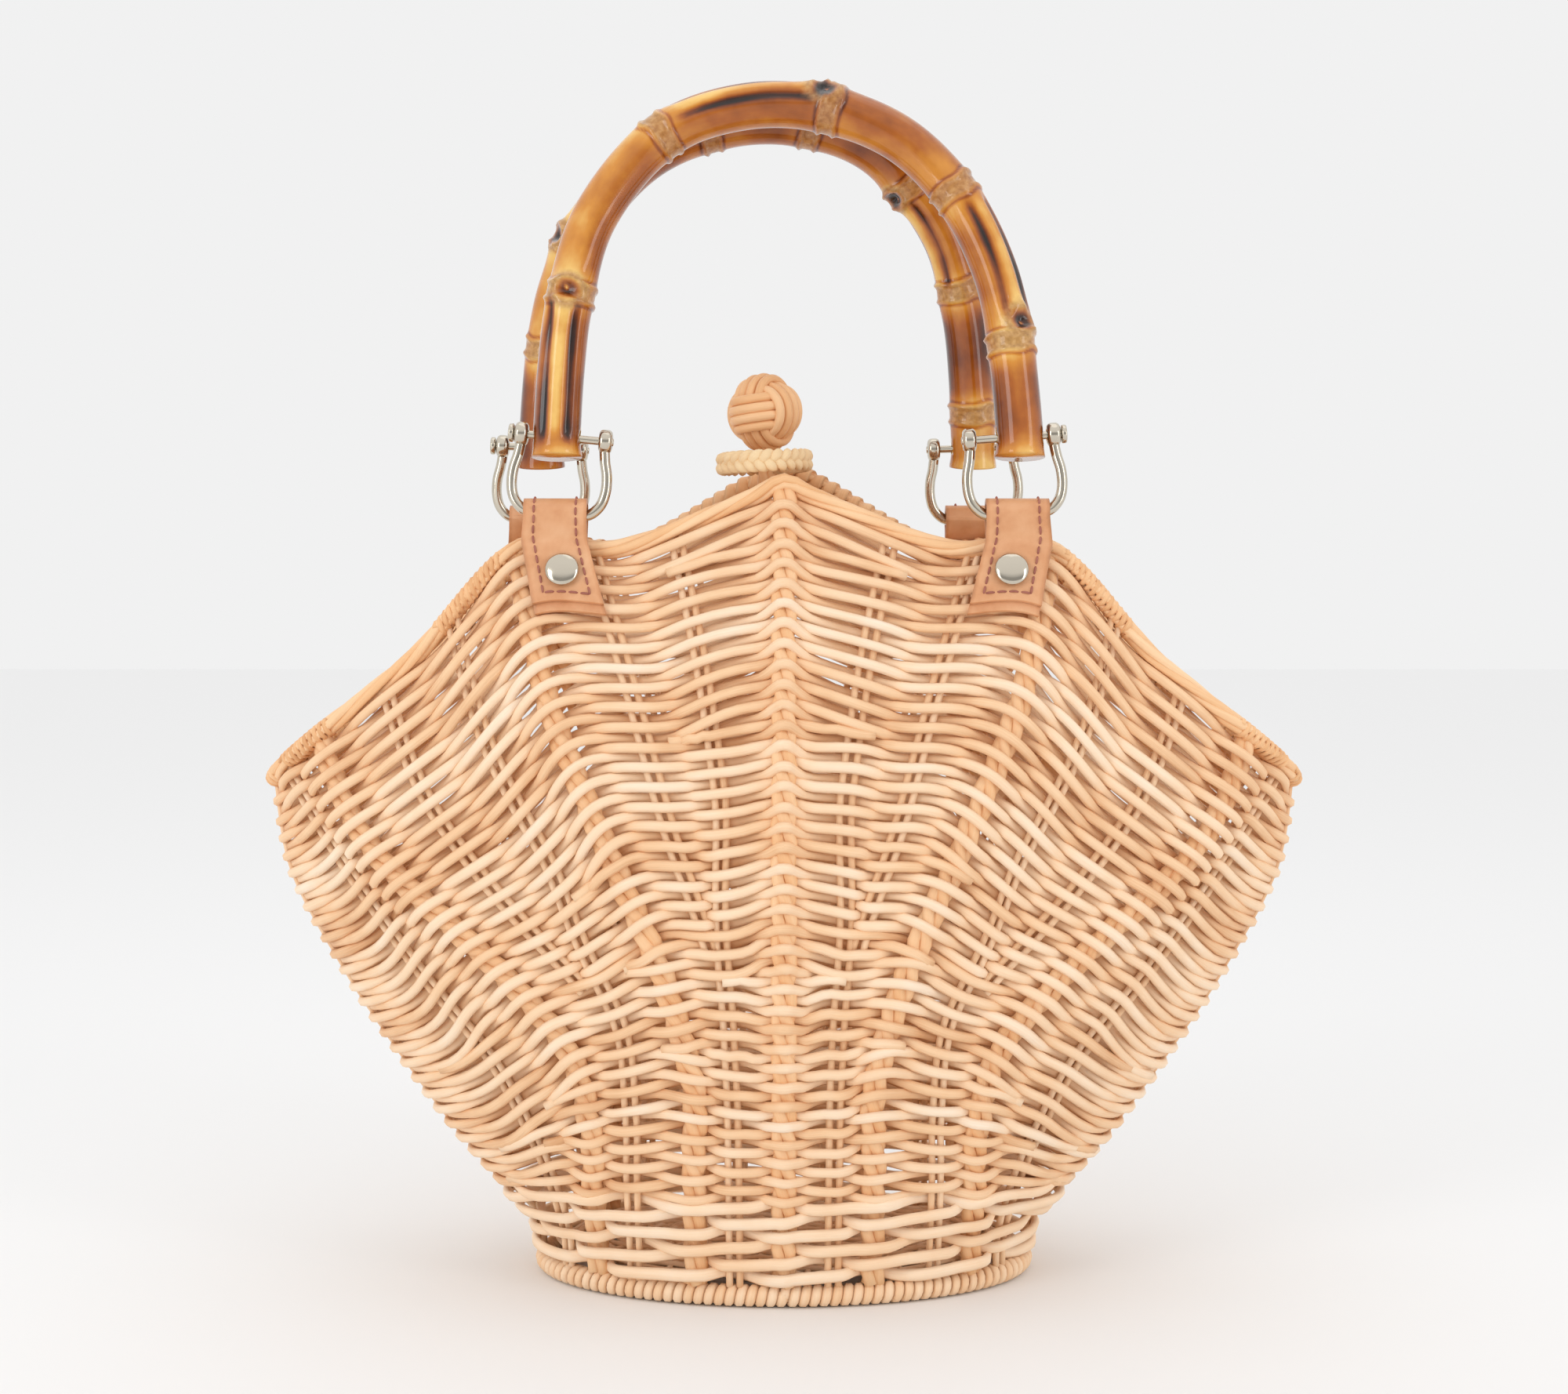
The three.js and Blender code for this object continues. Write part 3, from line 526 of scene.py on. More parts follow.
def wander(count, waves, size):
    """A smooth random line round a closed row, for the unevenness of hand work."""
    place = np.linspace(0, 2 * math.pi, count, endpoint=False)
    line = np.zeros(count)
    for wave in range(1, waves + 1):
        line += random.normal() * np.sin(wave * place + random.uniform(0, 2 * math.pi))
    return line * size / math.sqrt(waves / 2)


# %% [markdown]
# ## Stakes
#
# The stakes are the upright sticks that the reed is woven round. Twenty-four start at the foot,
# and eight more are added part of the way up, where the basket fans out. Most are two thin
# sticks side by side. The middle, shoulder and corner ridges are thick bundles, which is what
# makes the fluted form.

# %% Paths of the stakes
FOOT_TOP = FOOT_BORDER_HEIGHT + 0.3
WALE_TOP = 33.0
WALE_ROWS = 6
WALL_MIDDLE = -2.7
STICK_RADIUS = 1.08
STICK_OFFSET = 1.5
# shares of the height where the added stakes start, and where all move over to their fan places
ADDED_AT = 0.48
FAN_FROM, FAN_TO = 0.42, 0.66
ADDED_STEP_ASIDE = 0.12
# distances from the middle of a ridge, in ribs, where its bundle is full and where it ends
RIDGE_CORE, RIDGE_EDGE = 0.1, 0.55

# place of each stake in ribs: at the foot, from halfway up, and whether it is a ridge bundle
QUARTER_STAKES = [
    (0.0, 0.0, True), (2.0, 1.6, False), (None, 2.27, False), (3.0, 3.0, True),
    (3.95, 3.64, False), (None, 4.27, False), (4.9, 4.9, True), (5.97, 5.97, False),
    (7.0, 7.0, False),
]


def stake_turn(low, high, share):
    """Turn of a stake at a share of the height: it moves over from its foot place."""
    ease = smooth_step(share, FAN_FROM, FAN_TO)
    return (low if low is not None else high - ADDED_STEP_ASIDE) * (1 - ease) + high * ease


def stakes_at(share, added):
    """Turns of all stakes round the basket at a share of the height, in order."""
    row = [stake_turn(low, high, share)
           for low, high, _ in QUARTER_STAKES if added or low is not None]
    mirrored = [2 * QUARTER - turn for turn in row[-2::-1]]
    half = row + mirrored
    return np.array(half + [WHOLE_TURN - turn for turn in half[-2:0:-1]])


def is_ridge(turn):
    """How much of a ridge bundle stands at a turn, from 0 to 1."""
    rib = rib_of_turn(turn)[0]
    nearest = np.min([np.abs(rib - high) for _, high, ridge in QUARTER_STAKES if ridge], axis=0)
    return 1 - smooth_step(nearest, RIDGE_CORE, RIDGE_EDGE)


print("stakes at the foot", len(stakes_at(0.1, False)), "and above", len(stakes_at(0.6, True)))

# %% Sticks and ridge bundles
STAKE_STEPS = 44
RIDGE_SINK = 0.6
RIDGE_STRANDS = 3
RIDGE_TWIST = 34
RIDGE_HALF_WIDTH = 2.1
RIDGE_HALF_DEPTH = 0.8
sticks = Bundle()
ridges = Bundle()
all_stakes = [(low, high, ridge, side, at_back) for low, high, ridge in QUARTER_STAKES
              for at_back in (False, True) for side in (1, -1)
              if not (high == 0 and side < 0) and not (high == QUARTER and at_back)]
for low, high, ridge, side, at_back in all_stakes:
    full = float(length_up(np.array(high)))
    start = FOOT_TOP - 1 if low is not None else ADDED_AT * full - 4
    heights = np.linspace(start, full - 3, STAKE_STEPS)
    turns = stake_turn(low, high, heights / full)
    turns = side * (2 * QUARTER - turns if at_back else turns)
    point, up, out = wall_frame(turns, heights / full * length_up(turns))
    across = np.cross(up, out)
    middle = point + out * (WALL_MIDDLE - RIDGE_SINK * is_ridge(turns)[:, None])
    if ridge:
        swirl = heights / RIDGE_TWIST * 2 * math.pi + random.uniform(0, 6)
        for strand in range(RIDGE_STRANDS):
            angle = swirl + strand * 2 * math.pi / RIDGE_STRANDS
            path = middle + across * (RIDGE_HALF_WIDTH * np.cos(angle))[:, None] \
                + out * (RIDGE_HALF_DEPTH * np.sin(angle))[:, None]
            ridges.strand(path, out, 1.95, 1.8, random.uniform(0.35, 0.75), sides=8)
    else:
        for offset in (-1, 1):
            sway = random.normal(0, 0.12, len(heights)).cumsum() * 0.25
            path = middle + across * (offset * STICK_OFFSET + sway)[:, None]
            # painted shade: the sticks get a darker tone range, so the gaps behind the reeds look
            # darker
            sticks.strand(path, out, STICK_RADIUS, STICK_RADIUS, random.uniform(0.1, 0.5))

# %% [markdown]
# ## The weave
#
# One round reed goes in front of a stake and behind the next, and the row above it does the
# opposite. Near the foot the rows are a wale: thicker reeds that pass over two stakes and
# behind one, which grips the foot. The basket is taller in the middle than at the sides, so
# short rows that turn back at a ridge fill the middle.

# %% Rows of the weave
REED_HALF_HEIGHT = 1.62
REED_HALF_DEPTH = 1.32
FULL_ROWS = 50
STEPS_BETWEEN_STAKES = 9
WRAPPED = 10
RIM_ROOM = 5.8
WEAVE_START = WALE_TOP - 1.3
# the stakes are looked up at these shares of the height, from the first row to the last
FIRST_ROW_SHARE = 0.14
ALL_ROWS_SHARE = 0.83
ADDED_ROWS_EARLY = 5
# how far the reeds press into the stakes, and how much farther they stand out at a ridge
PRESSED_IN = 0.1
RIDGE_SWING = 1.1
SIDE_CALM = 0.55
# a short row turns back past its last stake, and gives its height back before and after it
ROUND_THE_LAST_STAKE = 0.25
TAPER_BEFORE = 0.7
TAPER_AFTER = 0.25
# full row after which a pair of short rows lies, and how far out it reaches at the four
# quarters, in ribs
SHORT_PAIRS = [
    (0, (6.4, 6.2, 6.4, 6.3)), (3, (5.6, 5.8, 5.7, 5.5)), (4, (6.4, 6.2, 6.3, 6.1)),
    (5, (5.2, 5.0, 5.1, 5.3)), (6, (3.0, 3.4, 3.2, 3.1)), (12, (1.6, 1.7, 1.5, 1.6)),
    (14, (3.0, 3.3, 3.1, 3.3)), (14, (6.4, 6.1, 6.3, 6.2)), (20, (3.0, 3.2, 3.1, 3.4)),
    (30, (1.6, 1.5, 1.7, 1.9)), (46, (1.6, 1.6, 1.7, 1.5)),
]
rows = []
for index in range(FULL_ROWS):
    rows.append(None)
    rows += [reach for after, reach in SHORT_PAIRS if after == index for _ in range(2)]


def row_part(row, turn):
    """How much of a row is there at a turn: 1 all along a full row, 0 past a short one's end."""
    if row is None:
        return np.ones_like(turn)
    quarter = (np.mod(turn, WHOLE_TURN) // QUARTER).astype(int) % 4
    rib = rib_of_turn(turn)[0]
    reach = np.array(row)[quarter]
    return 1 - smooth_step(rib, reach - TAPER_BEFORE, reach + TAPER_AFTER)


def row_height(number, turn):
    """Height of a row along the rib at a turn, in millimetres."""
    below = sum(row_part(row, turn) for row in rows[:number])
    here = row_part(rows[number], turn) / 2
    total = sum(row_part(row, turn) for row in rows)
    room = length_up(turn) - WEAVE_START - RIM_ROOM
    return WEAVE_START + room * (below + here) / total


def stakes_of_row(number):
    """Turns of the stakes that a row passes, with some of the next round at both ends, and
    their numbers."""
    share = FIRST_ROW_SHARE + ALL_ROWS_SHARE * number / len(rows)
    stakes = stakes_at(share, added=number > ADDED_AT * len(rows) - ADDED_ROWS_EARLY)
    turns = np.concatenate([stakes[-WRAPPED:] - WHOLE_TURN, stakes, stakes[:WRAPPED] + WHOLE_TURN])
    return turns, np.arange(-WRAPPED, len(stakes) + WRAPPED)


def weave_row(bundle, number, tone, first=None, last=None):
    """Weaves one row between two stake numbers, or all round where none are given."""
    turns, numbers = stakes_of_row(number)
    closed = first is None
    if closed:
        phase = np.arange((len(turns) - 2 * WRAPPED) * STEPS_BETWEEN_STAKES)
        phase = phase / STEPS_BETWEEN_STAKES
    else:
        phase = np.arange(math.ceil((last - first) * STEPS_BETWEEN_STAKES) + 1)
        phase = phase / STEPS_BETWEEN_STAKES + first
    turn = np.interp(phase, numbers, turns)
    over = np.cos(math.pi * (phase + number))
    shaped = np.sign(over) * np.abs(over) ** 0.85
    near_side = smooth_step(rib_of_turn(turn)[0], 6.1, 7.0)
    swing = STICK_RADIUS + REED_HALF_DEPTH - PRESSED_IN + RIDGE_SWING * is_ridge(turn)
    swing = swing * (1 - SIDE_CALM * near_side)
    height = row_height(number, turn) - 0.1 * over + wander(len(phase), 14, 0.16)
    path, out = on_wall(turn, height, WALL_MIDDLE - RIDGE_SINK * is_ridge(turn) + shaped * swing)
    girth = 1 + wander(len(phase), 9, 0.03)
    # painted shade: the reed's tone is lowered where it passes behind a stake
    shade = tone + wander(len(phase), 6, 0.06) - 0.12 * (1 - shaped)
    bundle.strand(path, out, REED_HALF_HEIGHT * girth, REED_HALF_DEPTH * girth, shade,
                  closed=closed)


lower_weave = Bundle()
upper_weave = Bundle()
for number, row in enumerate(rows):
    bundle = lower_weave if number < len(rows) // 2 else upper_weave
    if number % 2 == 0:
        tone = random.uniform(0.2, 0.8)
    if row is None:
        weave_row(bundle, number, tone)
        continue
    right_front, right_back, left_back, left_front = row
    for ends in ((-left_front, right_front), (2 * QUARTER - right_back, 2 * QUARTER + left_back)):
        first, last = np.interp(ends, *stakes_of_row(number))
        weave_row(bundle, number, tone, first - ROUND_THE_LAST_STAKE, last + ROUND_THE_LAST_STAKE)

# %% Wale at the foot
WALE_HALF_HEIGHT = 1.95
WALE_HALF_DEPTH = 1.4
WALE_SLANT = 2.5
WALE_PITCH = (WALE_TOP - FOOT_TOP) / WALE_ROWS
foot_stakes = stakes_at(0.1, False)
stake_numbers = np.arange(len(foot_stakes) + 1)
phase = np.arange(len(foot_stakes) * STEPS_BETWEEN_STAKES) / STEPS_BETWEEN_STAKES
turn = np.interp(phase, stake_numbers, np.append(foot_stakes, foot_stakes[0] + WHOLE_TURN))
for row in range(WALE_ROWS):
    # three stakes make a beat, and the reed is behind the third one
    beat = np.mod(phase + row, 3)
    behind = np.minimum(np.abs(beat - 2), 3 - np.abs(beat - 2))
    over = 2 * smooth_step(behind, 0.1, 0.8) - 1
    slant = (np.mod(beat + 1, 3) / 3 - 0.5) * WALE_SLANT * smooth_step(behind, 0.0, 0.5)
    height = FOOT_TOP + WALE_PITCH * (row + 0.5) + slant + wander(len(phase), 12, 0.15)
    swing = STICK_RADIUS + WALE_HALF_DEPTH - PRESSED_IN + 0.9 * is_ridge(turn)
    path, out = on_wall(turn, height, WALL_MIDDLE + over * swing)
    lower_weave.strand(path, out, WALE_HALF_HEIGHT, WALE_HALF_DEPTH,
                       random.uniform(0.45, 0.8) + wander(len(phase), 6, 0.05), closed=True)

# %% The wall's pieces
wall_pieces = [lower_weave.to_object("lower_weave", peeled_reed),
               upper_weave.to_object("upper_weave", peeled_reed),
               sticks.to_object("stakes", peeled_reed),
               ridges.to_object("ridge_bundles", golden_reed)]
for piece in wall_pieces:
    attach(piece, "basket")
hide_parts("basket_body")

# %% [markdown]
# ## Rim, foot border and bottom
#
# The wall's top edge is closed by long strands that twist slowly round one another, and at the
# shoulders and the corners fine cane is wound round them where their ends are tucked in. The
# back edge is wound with broad flat cane. The foot stands on a border whose strands are wound
# closely across it. All of them are paths round a core, so one helper winds them.

# %% Winding helpers
RIM_GAP = 0.5


def rim_middle(turn):
    """Middle of the rim binding with its up and outward directions."""
    turn = np.asarray(turn, float)
    point, up, out = wall_frame(turn, length_up(turn) - RIM_HEIGHT - RIM_GAP)
    return point - out * WALL_THICKNESS / 2 + up * (RIM_GAP + RIM_HEIGHT / 2), up, out


def turns_by_length(place, first, last, step):
    """Turns from first to last whose places lie a fixed distance apart, in millimetres."""
    fine = np.linspace(first, last, 2400)
    reach = length_along(place(fine)[0])
    count = max(int(round(reach[-1] / step)), 3)
    even = np.linspace(0, reach[-1], count + 1)
    return np.interp(even, reach, fine), even


def wind(bundle, place, first, last, pitch, wide, tall, half_height, half_depth, tones, steps):
    """Winds a strand round a core of half sizes wide and tall, one turn each pitch."""
    turns, reach = turns_by_length(place, first, last, pitch / steps)
    point, up, out = place(turns)
    angle = reach / pitch * 2 * math.pi
    radial = out * np.cos(angle)[:, None] + up * np.sin(angle)[:, None]
    path = point + out * (wide * np.cos(angle))[:, None] + up * (tall * np.sin(angle))[:, None]
    shade = random.uniform(*tones) + 0.12 * np.sin(reach / pitch * 2 + random.uniform(0, 6))
    bundle.strand(path, radial, half_height, half_depth, shade)


# %% Rim
FRONT_RIM_END = 6.55
BACK_RIM_START = 6.6
BACK_CORE_START = 7.3
# the front strands twist once in this length, at these distances from the rim's middle
RIM_TWIST = 95
TWIST_OUT = 2.15
TWIST_UP = 1.55
RIM_STRANDS = 5
RIM_REED_HALF_HEIGHT = 1.42
RIM_REED_HALF_DEPTH = 1.3
rim = Bundle()
turns, reach = turns_by_length(rim_middle, -FRONT_RIM_END, FRONT_RIM_END, 3.2)
point, up, out = rim_middle(turns)
for strand in range(RIM_STRANDS):
    angle = reach / RIM_TWIST * 2 * math.pi + strand / RIM_STRANDS * 2 * math.pi
    angle = angle + wander(len(turns), 5, 0.15)
    outward = out * np.cos(angle)[:, None]
    upward = up * np.sin(angle)[:, None]
    rim.strand(point + outward * TWIST_OUT + upward * TWIST_UP, outward + upward,
               RIM_REED_HALF_HEIGHT, RIM_REED_HALF_DEPTH,
               random.uniform(0.3, 0.8) + wander(len(turns), 5, 0.07), sides=8)
# the fine cane, from and to these turns at the shoulders, the corners and the sides
for near, far in ((3.12, 3.75), (4.75, 5.75), (6.3, 6.9)):
    for first, last in ((-far, -near), (near, far)):
        wind(rim, rim_middle, first, last, pitch=2.1, wide=3.1, tall=2.45, half_height=0.95,
             half_depth=0.6, tones=(0.1, 0.4), steps=14)
turns = turns_by_length(rim_middle, BACK_CORE_START, WHOLE_TURN - BACK_CORE_START, 6)[0]
point, up, out = rim_middle(turns)
for strand in range(3):
    angle = strand / 3 * 2 * math.pi + 0.5
    path = point + out * 1.2 * math.cos(angle) + up * 0.9 * math.sin(angle)
    rim.strand(path, out, 1.5, 1.4, 0.4)
wind(rim, rim_middle, BACK_RIM_START, WHOLE_TURN - BACK_RIM_START, pitch=4.4, wide=2.85, tall=2.15,
     half_height=2.1, half_depth=0.55, tones=(0.25, 0.45), steps=16)
rim_piece = rim.to_object("rim", golden_reed)
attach(rim_piece, "basket")
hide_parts("rim_binding")

# %% Foot border
BORDER_MIDDLE = FOOT_BORDER_HEIGHT / 2
BORDER_INSET = FOOT_BORDER_WIDTH / 2 - 0.4


def border_middle(turn):
    """Middle of the foot's border with its up and outward directions."""
    point, _, out = wall_frame(turn, FOOT_BORDER_HEIGHT)
    out = unit(out * [1, 1, 0])
    middle = point - out * BORDER_INSET
    middle[..., 2] = BORDER_MIDDLE
    return middle, np.broadcast_to([0.0, 0.0, 1.0], out.shape), out


border = Bundle()
wind(border, border_middle, 0, WHOLE_TURN, pitch=3.1, wide=2.5, tall=BORDER_MIDDLE - 1.05,
     half_height=1.5, half_depth=1.0, tones=(0.3, 0.5), steps=12)
turns = turns_by_length(border_middle, 0, WHOLE_TURN, 7)[0]
point, _, out = border_middle(turns[:-1])
border.strand(point, out, 2.2, 2.2, 0.4, closed=True)
border_piece = border.to_object("foot_rim", peeled_reed)
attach(border_piece, "basket")
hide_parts("foot_border")

# %% [markdown]
# The bottom is a flat oval weave: reeds run round and round it, over and under sticks that
# reach from side to side.

# %% Bottom
BASE_MIDDLE = 9.3
BASE_GAP = 1.4
BASE_SWING = 0.7
BASE_RINGS = 15
BASE_STICKS = 24
STEPS_A_STICK = 8
base = Bundle()
edge, _, edge_out = wall_frame(
    np.linspace(0, WHOLE_TURN, BASE_STICKS * STEPS_A_STICK, endpoint=False), BASE_MIDDLE)
edge = edge - unit(edge_out * [1, 1, 0]) * (WALL_THICKNESS + BASE_GAP)
edge[:, 2] = BASE_MIDDLE
# the rings grow out from a straight line along the middle of the bottom
straight = (FOOT_HALF_WIDTH - FOOT_HALF_DEPTH) * 0.9
spine = np.zeros_like(edge)
spine[:, 0] = np.clip(edge[:, 0], -straight, straight)
spine[:, 2] = BASE_MIDDLE
for ring in range(BASE_RINGS):
    path = spine + (edge - spine) * (ring + 0.6) / BASE_RINGS
    beat = np.cos(math.pi * (np.arange(len(path)) / STEPS_A_STICK + ring))
    path[:, 2] = BASE_MIDDLE + beat * BASE_SWING
    base.strand(path, (0, 0, 1), 1.25, 1.0, random.uniform(0.3, 0.7), sides=5, closed=True)
for here in range(0, len(edge), STEPS_A_STICK):
    base.strand(np.linspace(spine[here], edge[here], 6), (0, 0, 1), 1.0, 0.8, 0.5, sides=5)
for offset in (-1.2, 1.2):
    line = [[x, offset, BASE_MIDDLE] for x in (-straight - 4, 0, straight + 4)]
    base.strand(line, (0, 0, 1), 1.1, 1.0, 0.5)
base_piece = base.to_object("woven_bottom", peeled_reed)
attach(base_piece, "basket")
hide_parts("base_panel")

# %% [markdown]
# ## Closure
#
# The ball is a fist knot: three bands of four parallel strands wrap it square to one another,
# each over the next and under the one before. The loop that holds it is a flat plait of three
# pale straws. Both are tied stiff, so they are modelled as they sit.

# %% Ball and its neck
straw = reed_material("plaited_straw", [
    (0.0, "#CB9C6A"), (0.4, "#E6C090"), (0.8, "#F3D6AA"), (1.0, "#F8E3C0")], 0.65, 0.3)
BALL_RADIUS = 12.4
BALL_STRAND = 1.55
BALL_STEPS = 64
BAND_STRANDS = 4
BAND_RISE = 1.15
NECK_STRAND = 1.25
knob_low, knob_high = (np.array(corner) * 1000 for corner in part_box("closure_knob"))
ball_middle = np.array([(knob_low[0] + knob_high[0]) / 2, knob_low[1] + BALL_RADIUS,
                        knob_high[2] - BALL_RADIUS])
ball_turn = np.array(Matrix.Rotation(math.radians(-8), 3, "Y")
                     @ Matrix.Rotation(math.radians(-40), 3, "Z"))
ball = Bundle()
angle = np.linspace(0, 2 * math.pi, BALL_STEPS, endpoint=False)
for axis in range(3):
    for strand in range(BAND_STRANDS):
        offset = (strand - (BAND_STRANDS - 1) / 2) * 2 * BALL_STRAND * 0.93
        swell = BALL_RADIUS - BALL_STRAND - BAND_RISE * (1 + np.cos(2 * angle))
        reach = np.sqrt(np.maximum(swell ** 2 - offset ** 2, 4))
        ring = np.zeros((BALL_STEPS, 3))
        ring[:, axis] = offset
        ring[:, (axis + 1) % 3] = reach * np.cos(angle)
        ring[:, (axis + 2) % 3] = reach * np.sin(angle)
        ball.strand(ring @ ball_turn.T + ball_middle, unit(ring) @ ball_turn.T, BALL_STRAND,
                    BALL_STRAND * 0.9, random.uniform(0.2, 0.6), sides=8, closed=True)
neck_end = np.array([ball_middle[0], knob_high[1] - 1.5, knob_low[2] + 2.2])
neck_path = smooth_curve([ball_middle - [0, 0, BALL_RADIUS - 4],
                          ball_middle - [0, 0, BALL_RADIUS + 4],
                          ball_middle + [0, 5, -BALL_RADIUS - 13],
                          (neck_end + ball_middle + [0, 6, -BALL_RADIUS - 19]) / 2, neck_end], 30)
for strand in range(3):
    swirl = np.linspace(0, 7, len(neck_path)) + strand * 2 * math.pi / 3
    path = neck_path.copy()
    path[:, 0] += NECK_STRAND * np.cos(swirl)
    path[:, 1] += NECK_STRAND * 0.8 * np.sin(swirl)
    ball.strand(path, (0, -1, 0.2), NECK_STRAND, NECK_STRAND, random.uniform(0.2, 0.6), sides=8)
ball_piece = ball.to_object("knotted_ball", golden_reed)
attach(ball_piece, "basket")
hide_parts("closure_knob")

# %% Plaited loop
LOOP_STRAND = 1.5
LOOP_STEPS = 216
PLAITS = 9
PLAIT_HALF_WIDTH = 2.0
PLAIT_HALF_DEPTH = 0.95
LOOP_TILT = 0.6
loop_low, loop_high = (np.array(corner) * 1000 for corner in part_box("closure_loop"))
loop_middle = (loop_low + loop_high) / 2
loop_half = (loop_high - loop_low) / 2 - 2.6
loop = Bundle()
around = np.linspace(0, 2 * math.pi, LOOP_STEPS, endpoint=False)
flat_round = np.stack([np.cos(around), np.sin(around), np.zeros(LOOP_STEPS)], -1)
away = unit(flat_round * [loop_half[1], loop_half[0], 0])
for strand in range(3):
    beat = around * PLAITS + strand * 2 * math.pi / 3
    path = loop_middle + flat_round * loop_half \
        + away * (PLAIT_HALF_DEPTH * np.sin(2 * beat))[:, None]
    path[:, 2] += PLAIT_HALF_WIDTH * np.sin(beat) + LOOP_TILT * np.cos(around)
    loop.strand(path, away, LOOP_STRAND, LOOP_STRAND * 0.85, random.uniform(0.45, 0.75),
                sides=8, closed=True)
loop_piece = loop.to_object("plaited_loop", straw)
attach(loop_piece, "basket")
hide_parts("closure_loop")

# %% [markdown]
# ## Leather tabs
#
# Each handle hangs from two straps of tan leather. A strap is folded over the shackle, both ends
# lie on the basket's wall, and a rivet holds them. It is modelled as a sheet that follows the
# strap's middle, then given its thickness and softened edges. Rows of stitches follow its sides.

# %% Where the tabs hang
HANDLE_HALF_SPAN = 69.1
HANDLE_OFFSETS = {"front": 1.3, "back": -8.6}
CLEARANCE = 0.3
TAB_WIDTH = 19.0
TAB_LENGTH = 21.5
LEATHER = 1.8
UNDERLAYER_SHOW = 2.0
FOLD_RADIUS = 2.9
FOLD_OUT = 5.6
FOLD_UP = 7.2
RIVET_DROP = 10.8
# side of the bag, leg of the handle, how far the tab is moved from the leg as a share of its
# width, and the tilt of its shackle in degrees
HANGINGS = {"front_left": ("front", -1, -0.01, 5.5), "front_right": ("front", 1, -0.047, -4),
            "back_left": ("back", -1, -0.042, 3), "back_right": ("back", 1, 0.042, -2)}
tab_places = {name: HANDLE_OFFSETS[side] + leg * HANDLE_HALF_SPAN + shift * TAB_WIDTH
              for name, (side, leg, shift, _) in HANGINGS.items()}
half_turns = np.linspace(0, QUARTER, 200 * QUARTER + 1)
half_rim_x = rim_middle(half_turns)[0][:, 0]


def turn_at(x, side):
    """Turn at which the rim passes an x on the front or the back."""
    rib = np.interp(np.abs(x), half_rim_x, half_turns) * np.where(np.asarray(x) >= 0, 1, -1)
    return rib if side == "front" else 2 * QUARTER - rib


def strap_point(side, x, drop, out):
    """A point of a strap on the wall, a drop below the rim's middle and out from the strap's
    inner face, and the outward direction there."""
    turn = turn_at(x, side)
    point, _, away = wall_frame(turn, length_up(turn) - RIM_HEIGHT / 2 - drop)
    over_rim = (RIM_WIDTH - WALL_THICKNESS) / 2 * np.clip(2 - drop / RIM_HEIGHT, 0, 1)
    return point + away * (CLEARANCE + over_rim + out), away


BOW_REACH = 23.0
SHACKLE_LEAN = 7.0
shackle_lean = math.radians(SHACKLE_LEAN)
fold_axes = {}
pin_axes = {}
for side, sign in (("front", -1), ("back", 1)):
    spots = []
    for name, place in tab_places.items():
        if HANGINGS[name][0] == side:
            point, up, away = (row * [0, 1, 1] for row in rim_middle(turn_at(place, side)))
            spots.append(point + unit(away) * FOLD_OUT + unit(up) * FOLD_UP)
    fold_axes[side] = np.array([0, sign * max(abs(spot[1]) for spot in spots),
                                max(spot[2] for spot in spots)])
    pin_axes[side] = fold_axes[side] + np.array(
        [0, -sign * BOW_REACH * math.sin(shackle_lean), BOW_REACH * math.cos(shackle_lean)])
print("fold axes", fold_axes, "pin axes", pin_axes)

# %% Leather
def leather_material():
    """Vegetable-tanned leather: soft cloudy tan, fine pores, edges burnished darker."""
    made, tree, surface = blank_material("tan_vegetable_tanned_leather")
    clouds = noise(tree, object_place(tree), 120.0, 4.0)
    pores = noise(tree, object_place(tree), 1900.0, 3.0)
    across = add_node(tree, "ShaderNodeSeparateXYZ", {
        "Vector": add_node(tree, "ShaderNodeUVMap", uv_map="UVMap").outputs["UV"]})
    from_middle = calculate(tree, "ABSOLUTE", across.outputs["X"])
    edge = remap(tree, from_middle, 0.0082, 0.0096, 0.0, 0.35)
    tone = calculate(tree, "SUBTRACT", clouds, edge, clamp=True)
    shade = colour_ramp(tree, tone, [
        (0.0, "#AE744C"), (0.35, "#D59668"), (0.55, "#E0A679"), (0.8, "#E8B58A")])
    tree.links.new(shade, surface.inputs["Base Color"])
    raise_surface(tree, surface, pores, 0.25, 0.0002)
    surface.inputs["Roughness"].default_value = 0.42
    surface.inputs["Specular IOR Level"].default_value = 0.5
    return made


leather = leather_material()
thread = reed_material("rose_brown_thread", [
    (0.0, "#8E5544"), (0.5, "#A8685A"), (1.0, "#BC8069")], 0.7, 0.2)

# %% Straps and their stitches
WIDTH_STEPS = 16
LENGTH_STEPS = 84
STITCHED_STEPS = 48
fold_angles = np.radians([-12, 15, 45, 75, 105, 135, 165, 192])


def select_only(piece):
    """Makes a piece the only selected one and the active one."""
    bpy.ops.object.select_all(action="DESELECT")
    piece.select_set(True)
    bpy.context.view_layer.objects.active = piece


def face_outward(piece):
    """Turns all faces of a piece outward."""
    select_only(piece)
    bpy.ops.object.mode_set(mode="EDIT")
    bpy.ops.mesh.select_all(action="SELECT")
    bpy.ops.mesh.normals_make_consistent(inside=False)
    bpy.ops.object.mode_set(mode="OBJECT")


